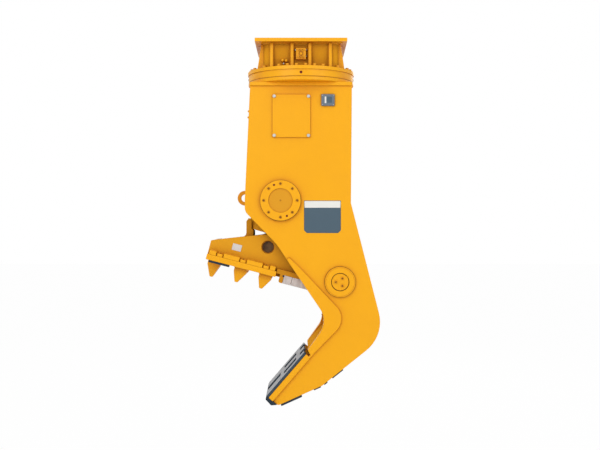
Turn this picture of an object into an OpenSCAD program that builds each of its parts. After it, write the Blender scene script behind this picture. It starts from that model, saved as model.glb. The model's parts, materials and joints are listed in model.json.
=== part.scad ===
// Concrete pulverizer for a 35 to 50 tonne excavator, jaws open, hanging from its adapter plate.
// Millimetres. The origin is the centre of the adapter plate's top face, on the slewing axis.
// +Z points up, the mouth opens towards -X, and the photographed side faces -Y.

/* [Adapter head] */
// Side of the square adapter plate
plate_w = 660; // [640:1:700]
// Thickness of the adapter plate
plate_t = 25; // [20:1:32]
// Height of the box below the adapter plate
head_h = 180; // [165:1:195]
// Half the width of the box
head_half = 270; // [264:1:276]
// Corner radius of the box
head_corner_r = 58; // [54:1:66]
// Wall of the box
head_wall = 20; // [14:1:24]
// Width of the windows in front and back of the box
window_w = 108; // [96:1:116]
// Height of the windows
window_h = 118; // [105:1:125]
// Thickness of the upright ribs
rib_t = 20; // [14:1:24]
// Distance of the inner ribs from the middle of a side
rib_inner = 64; // [60:1:74]
// Distance of the outer ribs from the middle of a side
rib_outer = 210; // [195:1:222]
// Reach of a rib under the adapter plate, from the axis
rib_reach = 287; // [282:1:300]
// Reach of a rib at its foot
rib_foot = 315; // [305:1:325]
// Radius of the bolting flange under the box
flange_r = 394; // [390:1:402]
// Thickness of the bolting flange
flange_t = 25; // [20:1:30]
// Diameter of the clearance holes for the adapter bolts
adapter_hole_d = 26; // [22:1:30]
// Spacing of the corner holes in the adapter plate
adapter_pitch = 580; // [560:1:600]
// Distance of the edge holes from the middle of a side
edge_hole = 137; // [120:1:150]
// Distance of the row of edge holes from the axis
edge_row = 300; // [292:1:305]

/* [Rotary union] */
// Width of the cross manifold
manifold_w = 70; // [66:1:78]
// Height of the cross manifold
manifold_h = 80; // [70:1:86]
// Depth of the manifold below the adapter plate
manifold_drop = 41; // [34:1:46]
// Radius of the union body
union_r = 75; // [68:1:84]
// Radius of the turning stem in the union
stem_r = 45; // [38:1:50]
// Radius of the stem's foot flange
stem_foot_r = 110; // [100:1:118]
// Thickness of the stem's foot flange
stem_foot_t = 18; // [14:1:20]
// Bore of a hose port
port_d = 19; // [16:1:22]
// Depth of a hose port
port_depth = 60; // [40:1:90]
// Wide spacing of the port screws
port_pitch_long = 50.8; // [48:0.1:54]
// Narrow spacing of the port screws
port_pitch_short = 23.8; // [22:0.1:26]
// Diameter of the tapped holes for the port screws
port_screw_d = 10; // [8:1:11]

/* [Slewing ring] */
// Outer radius of the fixed ring
ring_r = 388; // [384:1:390]
// Height of each ring
ring_h = 47; // [42:1:52]
// Upright gap between the ring and its neighbours
ring_gap = 5; // [4:1:8]
// Radius of the ball circle
race_r = 330; // [322:1:336]
// Diameter of a ball
ball_d = 30; // [26:1:32]
// Number of balls
ball_n = 40; // [20:1:48]
// Running clearance at the race
race_gap = 0.3; // [0.2:0.1:0.6]
// Inner radius of the turning ring
ring_bore_r = 280; // [270:1:286]
// Number of screws round the bolting flange
ring_bolt_n = 36; // [18:1:40]
// Radius of the screw circle
ring_bolt_r = 372; // [368:1:374]
// Diameter of the ring screws
ring_bolt_d = 16; // [12:1:18]
// Length of the ring screws under the head
ring_bolt_l = 60; // [50:1:66]

/* [Housing] */
// Half the length of the housing's top plate
top_half = 366; // [364:1:376]
// Thickness of the housing's top plate
top_t = 28; // [22:1:34]
// Radius of the neck ring on the top plate
neck_r = 390; // [384:1:396]
// Height of the neck ring
neck_h = 25; // [20:1:30]
// Outer width of the housing over its side plates
housing_w = 560; // [540:2:580]
// Height of the side plates
housing_h = 2296; // [2270:1:2320]
// Thickness of the side plates
side_t = 40; // [34:1:46]
// Reach of the housing's front edge from the slewing axis
front_reach = 404; // [396:1:412]
// Reach of the elbow from the slewing axis
elbow_reach = 602; // [585:1:612]
// Radius of the elbow
elbow_r = 263; // [220:1:300]
// Thickness of the front and rear shells
shell_t = 25; // [18:1:30]
// How far the shells lie inside the edge of the side plates
shell_inset = 20; // [10:1:24]
// Thickness of the doubler plates round the mouth
doubler_t = 18; // [12:1:22]
// Length of an access cover along the housing
cover_h = 308; // [280:1:320]
// Width of an access cover
cover_w = 272; // [250:1:290]
// Thickness of an access cover
cover_t = 10; // [8:1:14]
// Lap of the cover over its opening
cover_lap = 34; // [30:1:44]
// Radius of the lifting eye
eye_r = 55; // [48:1:60]
// Diameter of the lifting eye's hole
eye_hole_d = 56; // [48:1:64]
// Thickness of the lifting eye
eye_t = 30; // [24:1:36]

/* [Main pin] */
// Distance of the main pin behind the slewing axis
pin_x = 281; // [274:1:288]
// Depth of the main pin below the adapter plate's top
pin_z = 1744; // [1736:1:1752]
// Diameter of the main pin
pin_d = 131; // [122:1:136]
// Outer diameter of the pin bosses
boss_d = 219; // [205:1:230]
// Thickness of the pin bosses
boss_t = 20; // [16:1:24]
// Running clearance of pins in their bushes, on the radius
run_gap = 0.05; // [0.02:0.01:0.1]

/* [Cylinder] */
// Distance of the trunnion before the slewing axis
trunnion_x = 147; // [141:1:153]
// Depth of the trunnion below the adapter plate's top
trunnion_z = 1159; // [1152:1:1166]
// Diameter of the trunnion journals
journal_d = 160; // [150:1:170]
// Outer diameter of the trunnion caps
cap_d = 290; // [275:1:300]
// Thickness of the trunnion caps
cap_t = 25; // [20:1:30]
// Bore of the cylinder
bore_d = 250; // [240:1:256]
// Outer diameter of the cylinder tube
tube_d = 310; // [300:1:320]
// Diameter of the piston rod
rod_d = 136; // [126:1:140]
// Diameter of the gland head
gland_d = 374; // [360:1:378]
// Depth of the gland face below the trunnion, along the axis
gland_face = 253; // [248:1:258]
// Height of the gland head
gland_h = 103; // [90:1:110]
// Height of the tube above the trunnion
tube_rise = 640; // [620:1:655]
// Travel of the piston rod
stroke = 577; // [560:1:585]
// Diameter of the rod pin
rod_pin_d = 84; // [78:1:86]
// Bore of the rod eye
rod_eye_bore_d = 158; // [156:1:162]
// Outer diameter of the rod eye
rod_eye_d = 204; // [200:1:210]
// Width of the rod eye
rod_eye_w = 120; // [100:1:124]

/* [Fixed jaw] */
// Slope of the fixed wear plate below the horizontal
mouth_angle = 49.2; // [48:0.1:50.5]
// Distance from the main pin to the plane of the wear plate
mouth_depth = 132.7; // [128:0.1:140]
// Distance from the main pin to the wear plate's far end, along the plate
mouth_reach = 963; // [950:1:975]
// Length of the wear plate
wear_l = 412; // [402:1:424]
// Thickness of the wear plate
wear_t = 20; // [16:1:24]
// Width of the wear plate
wear_w = 590; // [572:2:604]
// Thickness of the base plate under the wear plate
base_t = 40; // [34:1:46]
// Depth of the toe below the wear plate's face
toe_depth = 110; // [100:1:120]
// Thickness of the throat plate
throat_t = 25; // [20:1:30]
// Length of the side slots in the wear plate
side_slot_l = 135; // [128:1:140]
// Length of the centre slot in the wear plate
centre_slot_l = 147; // [140:1:152]
// Width of a side slot
side_slot_w = 120; // [112:1:124]
// Width of the centre slot
centre_slot_w = 140; // [126:1:146]
// Height of the notch between throat and wear plate
notch_l = 30; // [24:1:36]
// Thickness of the wear bars welded to the lower edge
wear_bar_t = 14; // [10:1:16]

/* [Moving jaw] */
// Distance from the main pin to the rod pin
crank = 577; // [572:1:582]
// Angle of the rod pin above the horizontal, seen from the main pin
crank_angle = 25.5; // [25:0.1:26]
// Slope of the jaw's sole when the jaw is fully open
sole_slope = 14.5; // [14:0.1:15]
// Reach of the sole plate from the main pin
sole_reach = 979; // [972:1:982]
// Length of the sole plate
sole_l = 519; // [510:1:524]
// Distance from the main pin to the sole's face
sole_depth = 85; // [82:1:88]
// Thickness of the sole plate
sole_t = 42; // [36:1:46]
// Width of the sole plate
sole_w = 490; // [482:2:496]
// Outer width over the jaw's side plates
jaw_w = 400; // [392:2:406]
// Thickness of the jaw's side plates
jaw_side_t = 40; // [34:1:44]
// Radius of the jaw's hub
hub_r = 125; // [118:1:130]
// Wall of the hub bushes
bush_wall = 9.5; // [7:0.5:12]
// Length of a hub bush
bush_l = 100; // [80:1:110]
// Running gap between the hub and the side plates of the housing
hub_gap = 2; // [1:0.5:4]
// Height of the front tooth
front_tooth_h = 130; // [122:1:134]
// Height of the four other teeth
tooth_h = 113; // [105:1:117]
// Length of a tooth at its root
tooth_l = 94; // [88:1:98]
// Width of a side tooth at its root
side_tooth_w = 96; // [90:1:100]
// Width of the front tooth at its root
front_tooth_w = 110; // [104:1:112]
// Distance of the side teeth from the middle plane
tooth_y = 130; // [128:1:132]
// Thickness of the cutter blades on the moving jaw
blade_t = 35; // [30:1:36]
// Height of the cutter blades on the moving jaw
blade_h = 60; // [54:1:64]
// Distance from the main pin to the edge of the moving blades
blade_depth = 117; // [113:1:119]
// Gap between moving and fixed blades
blade_gap = 1; // [0.5:0.5:2]

/* [Hidden] */
$fn = 64;
// Overrun of cuts, and the step of drawn arcs in degrees
over = 2;
arc_step = 7.5;

// Heights of the stacked plates, from the top down
plate_bottom = -plate_t;
box_bottom = plate_bottom - head_h;
flange_bottom = box_bottom - flange_t;
ring_bottom = flange_bottom - ring_h;
neck_top = ring_bottom - ring_gap;
neck_bottom = neck_top - neck_h;
top_bottom = neck_bottom - top_t;
race_z = (flange_bottom + neck_top) / 2;

// Planes across the width
side_out = housing_w / 2;
side_in = side_out - side_t;
doubler_out = side_out + doubler_t;

// Pivots in the upright plane, and the slope of the cylinder at rest
main_pivot = [pin_x, -pin_z];
trunnion = [-trunnion_x, -trunnion_z];
rod_pivot = main_pivot + crank * [-cos(crank_angle), sin(crank_angle)];
lean = atan2(trunnion.x - rod_pivot.x, trunnion.y - rod_pivot.y);
rod_drop = norm(trunnion - rod_pivot);

// A place on the fixed jaw: v from the main pin towards the tip, and n across the plate
function fixed(v, n) = main_pivot
    + v * [-cos(mouth_angle), -sin(mouth_angle)]
    + n * [-sin(mouth_angle), cos(mouth_angle)];
function with_r(p, r) = [p.x, p.y, r];

// Points of the arc that rounds corner b between its neighbours a and c
function fillet(a, b, c, r) =
    let (
        ua = (a - b) / norm(a - b),
        uc = (c - b) / norm(c - b),
        half = acos(ua * uc) / 2,
        mid = (ua + uc) / norm(ua + uc),
        centre = b + mid * r / sin(half),
        p0 = b + ua * r / tan(half) - centre,
        p1 = b + uc * r / tan(half) - centre,
        a0 = atan2(p0.y, p0.x),
        turn = (atan2(p1.y, p1.x) - a0 + 540) % 360 - 180,
        n = max(2, ceil(abs(turn) / arc_step))
    )
    [for (i = [0:n]) centre + r * [cos(a0 + turn * i / n), sin(a0 + turn * i / n)]];

// A closed outline of [x, z, corner radius] with its corners rounded
function rounded(v) = [
    for (i = [0:len(v) - 1])
        let (
            b = [v[i].x, v[i].y],
            before = v[(i + len(v) - 1) % len(v)],
            after = v[(i + 1) % len(v)]
        )
        each (v[i][2] == 0 ? [b] : fillet([before.x, before.y], b, [after.x, after.y], v[i][2]))
];

// Corner i of a path moved sideways by d, to its right-hand side when the path is walked
function beside(path, i, d) =
    let (
        last = len(path) - 1,
        b = [path[i].x, path[i].y],
        a = i == 0 ? b : [path[i - 1].x, path[i - 1].y],
        c = i == last ? b : [path[i + 1].x, path[i + 1].y],
        u0 = i == 0 ? (c - b) / norm(c - b) : (b - a) / norm(b - a),
        u1 = i == last ? u0 : (c - b) / norm(c - b),
        n0 = [u0.y, -u0.x],
        n1 = [u1.y, -u1.x]
    )
    b + d * (n0 + n1) / (1 + n0 * n1);

// The closed outline of a bent plate that lies between two offsets of a path
function bent_plate(path, d0, d1) = rounded(concat(
    [for (i = [0:len(path) - 1]) with_r(beside(path, i, d0), max(0, path[i][2] - d0 * sign(path[i][2])))],
    [for (i = [len(path) - 1:-1:0]) with_r(beside(path, i, d1), max(0, path[i][2] - d1 * sign(path[i][2])))]
));

// An outline drawn in X and Z, extruded across the width from y0 to y1
module slab(y0, y1) {
    translate([0, y1, 0])
        rotate([90, 0, 0])
            linear_extrude(y1 - y0)
                children();
}

// The same slab on both sides of the middle plane
module slabs(y0, y1) {
    slab(y0, y1) children();
    slab(-y1, -y0) children();
}

// A round bar across the width, centred on a point in X and Z
module cross_bar(p, r, y0, y1) {
    translate([p.x, y1, p.y])
        rotate([90, 0, 0])
            cylinder(r = r, h = y1 - y0);
}

// Frames of the cylinder, the fixed jaw and the moving jaw
module on_cylinder() {
    translate([trunnion.x, 0, trunnion.y])
        rotate([0, lean, 0])
            children();
}

module jaw_frame() {
    translate([main_pivot.x, 0, main_pivot.y])
        rotate([0, sole_slope, 0])
            children();
}

module both_sides() {
    children();
    mirror([0, 1, 0])
        children();
}

// Outline of the housing's side plates
knee_share = 0.3585;
front_corner_share = 0.393;
front_corner_r_share = 0.030;
belly_shares = [-0.0741, 0.498, 0.174];
shoulder_shares = [0.1564, 0.367];
elbow_drop_share = 0.7820;
heel_shares = [0.066, 0.9385, 0.026];
toe_r = 20;
// Throat points from the main pin, as shares of the mouth's reach: tip, corner and its radius
throat_tip_shares = [-0.400, 0.170, 0.012];
throat_corner_shares = [-0.088, -0.291, 0.157];

wear_start = mouth_reach - wear_l;
wear_back = -mouth_depth - wear_t;
base_back = wear_back - base_t;
notch_depth = 48;
throat_step = 10;
throat_level = mouth_depth + throat_step;

function shared(s) = main_pivot + mouth_reach * [s.x, s.y];
throat_tip = with_r(shared(throat_tip_shares), throat_tip_shares[2] * mouth_reach);
throat_corner = with_r(shared(throat_corner_shares), throat_corner_shares[2] * mouth_reach);
throat_end = with_r(fixed(wear_start - notch_l, -throat_level), 0);
notch_floor = [
    with_r(fixed(wear_start - notch_l / 2, -mouth_depth - notch_depth), 0),
    with_r(fixed(wear_start, -mouth_depth - notch_depth), 0)
];
front_top = [-top_half, top_bottom, 0];
front_knee = [-front_reach, top_bottom - knee_share * housing_h, 0];
front_corner = [
    -front_reach,
    top_bottom - front_corner_share * housing_h,
    front_corner_r_share * housing_h
];
belly = [belly_shares[0], -belly_shares[1], belly_shares[2]] * housing_h + [0, top_bottom, 0];
shoulder = [shoulder_shares[0] * housing_h, top_bottom - shoulder_shares[1] * housing_h, 0];
elbow = [elbow_reach, top_bottom - elbow_drop_share * housing_h, elbow_r];
heel = [heel_shares[0], -heel_shares[1], heel_shares[2]] * housing_h + [0, top_bottom, 0];
toe = with_r(fixed(mouth_reach, -mouth_depth - toe_depth), toe_r);

module side_outline() {
    polygon(rounded(concat(
        [front_top, front_knee, front_corner, belly, throat_tip, throat_corner, throat_end],
        notch_floor,
        [
            with_r(fixed(wear_start, wear_back), 0),
            with_r(fixed(mouth_reach, wear_back), 0),
            toe, heel, elbow, shoulder,
            [top_half, top_bottom, 0]
        ]
    )));
}

// A strip of the fixed jaw from v0 to v1 along the plate and n0 to n1 across it
module fixed_strip(v0, v1, n0, n1) {
    polygon([fixed(v0, n0), fixed(v1, n0), fixed(v1, n1), fixed(v0, n1)]);
}

// The same for the moving jaw, drawn in the jaw's own frame: X is -u and Z is -n
module moving_strip(u0, u1, n0, n1) {
    polygon([[-u0, -n0], [-u1, -n0], [-u1, -n1], [-u0, -n1]]);
}

yellow = "#f5a623";
slate = "#546a7b";
steel = "#9aa0a6";
bright = "#d8dade";
dark = "#30363c";
brass = "#b08a3c";

// Adapter head

bolt_head_share = 1.5;

module adapter_plate() {
    color(yellow)
        difference() {
            translate([-plate_w / 2, -plate_w / 2, -plate_t])
                cube([plate_w, plate_w, plate_t]);
            for (x = [-1, 1], y = [-1, 1]) {
                translate([x * adapter_pitch / 2, y * adapter_pitch / 2, -plate_t - over])
                    cylinder(d = adapter_hole_d, h = plate_t + 2 * over);
                translate([x * edge_hole, y * edge_row, -plate_t - over])
                    cylinder(d = adapter_hole_d, h = plate_t + 2 * over);
                translate([x * edge_row, y * edge_hole, -plate_t - over])
                    cylinder(d = adapter_hole_d, h = plate_t + 2 * over);
            }
        }
}

window_sill = 20;

module head_box() {
    color(yellow)
        difference() {
            translate([0, 0, box_bottom])
                linear_extrude(head_h)
                    rounded_rect([0, 0], 2 * head_half, 2 * head_half, head_corner_r);
            translate([0, 0, box_bottom - over])
                linear_extrude(head_h + 2 * over)
                    rounded_rect(
                        [0, 0], 2 * (head_half - head_wall), 2 * (head_half - head_wall),
                        head_corner_r - head_wall
                    );
            translate([-window_w / 2, -head_half - over, plate_bottom - window_sill - window_h])
                cube([window_w, 2 * (head_half + over), window_h]);
        }
}

// One rib stands on a side of the box, at a distance across it
module head_rib(across) {
    translate([across, 0, 0])
        rotate([90, 0, 90])
            translate([0, 0, -rib_t / 2])
                linear_extrude(rib_t)
                    polygon([
                        [-head_half, plate_bottom], [-rib_reach, plate_bottom],
                        [-rib_foot, box_bottom], [-head_half, box_bottom]
                    ]);
}

module head_ribs() {
    color(yellow)
        for (turn = [0:90:270], across = [-rib_outer, -rib_inner, rib_inner, rib_outer])
            rotate([0, 0, turn])
                head_rib(across);
}

flange_bore_r = 235;
bolt_head_r = ring_bolt_d * bolt_head_share / 2;
bolt_clearance = 1;
rib_keep_off = rib_t / 2 + bolt_head_r + bolt_clearance;

// Places of the screws round the ring, without those that would lie under an outer rib
function under_rib(spot) = min(abs(abs(spot.x) - rib_outer), abs(abs(spot.y) - rib_outer)) < rib_keep_off;

module ring_bolt_places() {
    for (i = [0:ring_bolt_n - 1]) {
        turn = (i + 0.5) * 360 / ring_bolt_n;
        spot = ring_bolt_r * [cos(turn), sin(turn)];
        if (!under_rib(spot))
            translate([spot.x, spot.y, 0])
                children();
    }
}

module head_flange() {
    color(yellow)
        difference() {
            translate([0, 0, flange_bottom])
                cylinder(r = flange_r, h = flange_t, $fn = 128);
            translate([0, 0, flange_bottom - over])
                cylinder(r = flange_bore_r, h = flange_t + 2 * over, $fn = 128);
            ring_bolt_places()
                translate([0, 0, flange_bottom - over])
                    cylinder(d = ring_bolt_d + bolt_clearance, h = flange_t + 2 * over, $fn = 24);
        }
}

ball_groove_r = ball_d / 2 + race_gap;

module ball_groove() {
    translate([0, 0, race_z])
        rotate_extrude($fn = 128)
            translate([race_r, 0])
                circle(r = ball_groove_r, $fn = 32);
}

module slew_ring_outer() {
    color(steel)
        difference() {
            translate([0, 0, ring_bottom])
                cylinder(r = ring_r, h = ring_h, $fn = 128);
            translate([0, 0, ring_bottom - over])
                cylinder(r = race_r + race_gap, h = ring_h + 2 * over, $fn = 128);
            ball_groove();
            ring_bolt_places()
                translate([0, 0, ring_bottom - over])
                    cylinder(d = ring_bolt_d + bolt_clearance, h = ring_h + 2 * over, $fn = 24);
        }
}

hex_share = 0.8;

// A socket-head screw whose head sits on z = 0 and whose shank points down
module socket_screw(d, l) {
    head_h = d;
    head_d = d * bolt_head_share;
    difference() {
        union() {
            cylinder(d = head_d, h = head_h, $fn = 24);
            translate([0, 0, -l])
                cylinder(d = d, h = l + head_h / 2, $fn = 24);
        }
        translate([0, 0, head_h / 2])
            cylinder(d = d * hex_share, h = head_h, $fn = 6);
    }
}

module slew_bolts() {
    color(steel)
        ring_bolt_places()
            translate([0, 0, box_bottom])
                socket_screw(ring_bolt_d, ring_bolt_l);
}

plug_d = 18;
plug_proud = 3;
seat_gap = 0.2;

module ring_plugs() {
    color(dark)
        for (turn = [0:90:270])
            rotate([0, 0, turn])
                translate([0, -ring_r - seat_gap, flange_bottom - ring_h / 2])
                    rotate([90, 0, 0])
                        cylinder(d = plug_d, h = plug_proud, $fn = 24);
}

module port_holes(depth) {
    for (x = [-1, 1], z = [-1, 1])
        translate([x * port_pitch_short / 2, 0, z * port_pitch_long / 2])
            rotate([-90, 0, 0])
                cylinder(d = port_screw_d, h = depth, $fn = 24);
}

manifold_front = 290;
manifold_z = plate_bottom - manifold_drop - manifold_h / 2;
port_screw_depth = 22;
hanger_w = 50;
hanger_l = 120;

module port_manifold() {
    color(slate)
        difference() {
            union() {
                translate([-manifold_w / 2, -manifold_front, manifold_z - manifold_h / 2])
                    cube([manifold_w, 2 * manifold_front, manifold_h]);
                translate([-hanger_w / 2, -hanger_l / 2, plate_bottom - manifold_drop])
                    cube([hanger_w, hanger_l, manifold_drop]);
            }
            both_sides()
                translate([0, -manifold_front - over, manifold_z]) {
                    port_holes(port_screw_depth + over);
                    rotate([-90, 0, 0])
                        cylinder(d = port_d, h = port_depth + over, $fn = 32);
                }
        }
}

union_bottom = neck_bottom + stem_foot_t + ring_gap;
manifold_bottom = manifold_z - manifold_h / 2;
stem_top = manifold_bottom - ring_gap;

module union_body() {
    color(slate)
        difference() {
            translate([0, 0, union_bottom])
                cylinder(r = union_r, h = manifold_bottom - union_bottom);
            translate([0, 0, union_bottom - over])
                cylinder(r = stem_r + run_gap, h = stem_top + over - union_bottom + over);
        }
}

module union_stem() {
    color(steel)
        union() {
            translate([0, 0, neck_bottom])
                cylinder(r = stem_foot_r, h = stem_foot_t);
            translate([0, 0, neck_bottom + stem_foot_t])
                cylinder(r = stem_r, h = stem_top - ring_gap - neck_bottom - stem_foot_t);
        }
}

// Slewing ring, turning side

module slew_ring_inner() {
    color(steel)
        difference() {
            translate([0, 0, neck_top])
                cylinder(r = race_r - race_gap, h = ring_h, $fn = 128);
            translate([0, 0, neck_top - over])
                cylinder(r = ring_bore_r, h = ring_h + 2 * over, $fn = 128);
            ball_groove();
        }
}

module slew_balls() {
    color(bright)
        for (i = [0:ball_n - 1])
            rotate([0, 0, i * 360 / ball_n])
                translate([race_r, 0, race_z])
                    sphere(d = ball_d, $fn = 24);
}

neck_bore_r = 240;

module neck_ring() {
    color(yellow)
        difference() {
            translate([0, 0, neck_bottom])
                cylinder(r = neck_r, h = neck_h, $fn = 128);
            translate([0, 0, neck_bottom - over])
                cylinder(r = neck_bore_r, h = neck_h + 2 * over, $fn = 128);
        }
}

hose_hole_d = 90;
hose_hole_y = 170;

module top_plate() {
    color(yellow)
        difference() {
            translate([-top_half, -side_out, top_bottom])
                cube([2 * top_half, housing_w, top_t]);
            for (y = [-hose_hole_y, hose_hole_y])
                translate([0, y, top_bottom - over])
                    cylinder(d = hose_hole_d, h = top_t + 2 * over);
        }
}

// Housing

cover_centre = [-69, -552];
opening_w = cover_w - 2 * cover_lap;
opening_h = cover_h - 2 * cover_lap;
bush_t = 15;
trunnion_bore_r = journal_d / 2 + run_gap + bush_t;
fixed_blade_h = 40;
fixed_blade_rise = 41;
fixed_blade_edge = mouth_depth - fixed_blade_rise;
fixed_blade_v0 = 190;
fixed_blade_l = 105;
fixed_blade_t = 26;
fixed_blade_in = side_in - side_t / 10;

module rounded_rect(centre, w, h, r) {
    polygon(rounded([
        [centre.x - w / 2, centre.y - h / 2, r],
        [centre.x + w / 2, centre.y - h / 2, r],
        [centre.x + w / 2, centre.y + h / 2, r],
        [centre.x - w / 2, centre.y + h / 2, r]
    ]));
}

opening_corner_r = 30;

module fixed_blade_outline() {
    fixed_strip(
        fixed_blade_v0, fixed_blade_v0 + fixed_blade_l,
        -fixed_blade_edge, -fixed_blade_edge - fixed_blade_h
    );
}

// The near side plate lies at -Y; the far one is its mirror image
module side_plate() {
    color(yellow)
        difference() {
            slab(-side_out, -side_in)
                difference() {
                    side_outline();
                    translate(trunnion)
                        circle(r = trunnion_bore_r);
                    translate(main_pivot)
                        circle(r = pin_d / 2 + run_gap);
                    rounded_rect(cover_centre, opening_w, opening_h, opening_corner_r);
                }
            slab(-fixed_blade_in - fixed_blade_t, -side_in + over)
                fixed_blade_outline();
        }
}

module side_plate_near() {
    side_plate();
}

module side_plate_far() {
    mirror([0, 1, 0])
        side_plate();
}

// The shells' paths start a little above the top plate's lower face, and are cut off there
lead_share = 0.01;
front_path = [
    front_top + lead_share * (front_top - front_knee),
    front_knee,
    [-front_reach, front_corner.y + front_corner[2] / 3, 0]
];

module below_top_plate() {
    difference() {
        children();
        translate([-housing_h, top_bottom])
            square([2 * housing_h, housing_h]);
    }
}

module front_plate() {
    color(yellow)
        slab(-side_in, side_in)
            below_top_plate()
                polygon(bent_plate(front_path, -shell_inset, -shell_inset - shell_t));
}

rear_end_shares = [0.1275, 0.893];
rear_end = [rear_end_shares[0] * housing_h, top_bottom - rear_end_shares[1] * housing_h, 0];
rear_top = [top_half, top_bottom, 0];
rear_path = [rear_top + lead_share * (rear_top - shoulder), shoulder, elbow, rear_end];

module rear_shell() {
    color(yellow)
        slab(-side_in, side_in)
            below_top_plate()
                polygon(bent_plate(rear_path, shell_inset, shell_inset + shell_t));
}

doubler_tip_shares = [-0.379, 0.181, 0.009];
doubler_flank_shares = [-0.299, 0.105];
doubler_corner_shares = [0.058, -0.273, 0.128];
doubler_bend_share = 0.522;

module doubler_outline() {
    polygon(rounded(concat(
        [
            throat_tip,
            with_r(shared(doubler_tip_shares), doubler_tip_shares[2] * mouth_reach),
            with_r(shared(doubler_flank_shares), 0),
            with_r(shared(doubler_corner_shares), doubler_corner_shares[2] * mouth_reach),
            with_r(fixed(doubler_bend_share * mouth_reach, base_back), 0),
            with_r(fixed(mouth_reach, base_back), 0),
            with_r(fixed(mouth_reach, wear_back), 0),
            with_r(fixed(wear_start, wear_back), 0)
        ],
        [notch_floor[1], notch_floor[0], throat_end, throat_corner]
    )));
}

module doublers() {
    color(yellow)
        slabs(side_out, doubler_out)
            doubler_outline();
}

// Throat, base plate and wear plate of the fixed jaw

throat_v0 = 200;

module throat_plate() {
    color(yellow)
        slab(-side_in, side_in)
            fixed_strip(throat_v0, wear_start - notch_l, -throat_level, -throat_level - throat_t);
}

tooth_notch_l = 44;
side_slot_v0 = 640;
centre_slot_v0 = 816;

// The slots that the teeth enter, cut through whatever lies on the mouth plane
module tooth_slots() {
    for (y = [-tooth_y, tooth_y]) {
        slab(y - side_slot_w / 2, y + side_slot_w / 2)
            fixed_strip(wear_start - over, wear_start + tooth_notch_l, 0, base_back - over);
        slab(y - side_slot_w / 2, y + side_slot_w / 2)
            fixed_strip(side_slot_v0, side_slot_v0 + side_slot_l, 0, base_back - over);
    }
    slab(-centre_slot_w / 2, centre_slot_w / 2)
        fixed_strip(centre_slot_v0, centre_slot_v0 + centre_slot_l + over, 0, base_back - over);
}

module lower_wear_plate() {
    color(steel)
        difference() {
            slab(-wear_w / 2, wear_w / 2)
                fixed_strip(wear_start, mouth_reach, -mouth_depth, wear_back);
            tooth_slots();
        }
}

module lower_base_plate() {
    color(yellow)
        difference() {
            slab(-side_in, side_in)
                fixed_strip(wear_start, mouth_reach, wear_back, base_back);
            tooth_slots();
        }
}

rib_plate_t = 30;
rib_play = 6;
jaw_rib_v = [wear_start + tooth_notch_l + rib_play, side_slot_v0 + side_slot_l + rib_play];
jaw_rib_floor = 420;

// Cross ribs behind the base plate, cut to the outline of the side plates
module lower_ribs() {
    color(yellow)
        union() {
            slab(-side_in, side_in)
                intersection() {
                    side_outline();
                    union() {
                        for (v = jaw_rib_v)
                            fixed_strip(v, v + rib_plate_t, base_back, -mouth_depth - jaw_rib_floor);
                    }
                }
            slab(-rib_plate_t / 2, rib_plate_t / 2)
                intersection() {
                    side_outline();
                    fixed_strip(
                        jaw_rib_v[0] + rib_plate_t, jaw_rib_v[1],
                        base_back, -mouth_depth - jaw_rib_floor
                    );
                }
        }
}

nose_l = 30;
nose_drop = 70;
nose_brow_shares = [0.8, 0.4];

module nose_bar() {
    color(dark)
        slab(-wear_w / 2, wear_w / 2)
            polygon([
                fixed(mouth_reach, -mouth_depth),
                fixed(
                    mouth_reach + nose_l * nose_brow_shares[0],
                    -mouth_depth - nose_l * nose_brow_shares[1]
                ),
                fixed(mouth_reach + nose_l, -mouth_depth - nose_drop),
                fixed(mouth_reach, -mouth_depth - nose_drop - nose_l)
            ]);
}

module fixed_blades() {
    color(bright)
        slabs(fixed_blade_in, fixed_blade_in + fixed_blade_t)
            fixed_blade_outline();
}

// A weld-on bar along part of the way from p to q, on the outer side
module wear_bar(p, q, s0, s1, t) {
    polygon(bent_plate([with_r(p + (q - p) * s0, 0), with_r(p + (q - p) * s1, 0)], seat_gap, t));
}

sole_bar_shares = [0.06, 0.53];
heel_bar_shares = [0.81, 0.97];
back_bar_shares = [[0.03, 0.08], [0.16, 0.33]];

module wear_bars() {
    toe_p = [toe.x, toe.y];
    heel_p = [heel.x, heel.y];
    elbow_p = [elbow.x, elbow.y];
    color(dark)
        slabs(side_in, side_out) {
            wear_bar(toe_p, heel_p, sole_bar_shares[0], sole_bar_shares[1], wear_bar_t);
            wear_bar(toe_p, heel_p, heel_bar_shares[0], heel_bar_shares[1], wear_bar_t / 2);
            for (s = back_bar_shares)
                wear_bar(heel_p, elbow_p, s[0], s[1], wear_bar_t / 2);
        }
}

// Main pin and trunnion fittings

boss_face_share = 0.915;
boss_step = 4;

pin_recess = 4;
pin_half = side_out + boss_t - pin_recess;
pin_screw_r = 31;
pin_screw_d = 10;
pin_screw_depth = 14;
dowel_d = 10;
dowel_turn = 37;

// The lock dowel between the pin and its boss, or the hole for it
module pin_dowel(overrun) {
    spot = main_pivot + pin_d / 2 * [cos(dowel_turn), sin(dowel_turn)];
    cross_bar(spot, dowel_d / 2, pin_half - pin_screw_depth, pin_half + overrun, $fn = 24);
}

module pin_bosses() {
    color(yellow)
        both_sides()
            difference() {
                union() {
                    cross_bar(main_pivot, boss_d / 2, side_out, side_out + boss_t - boss_step);
                    cross_bar(main_pivot, boss_face_share * boss_d / 2, side_out, side_out + boss_t);
                }
                cross_bar(main_pivot, pin_d / 2 + run_gap, side_out - over, side_out + boss_t + over);
                pin_dowel(pin_recess + over);
            }
}

module pin_screw_places() {
    both_sides()
        for (turn = [60, 180, 300])
            translate([main_pivot.x, -pin_half, main_pivot.y])
                rotate([0, -turn, 0])
                    translate([pin_screw_r, 0, 0])
                        rotate([90, 0, 0])
                            children();
}

pin_groove = 5;

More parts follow.
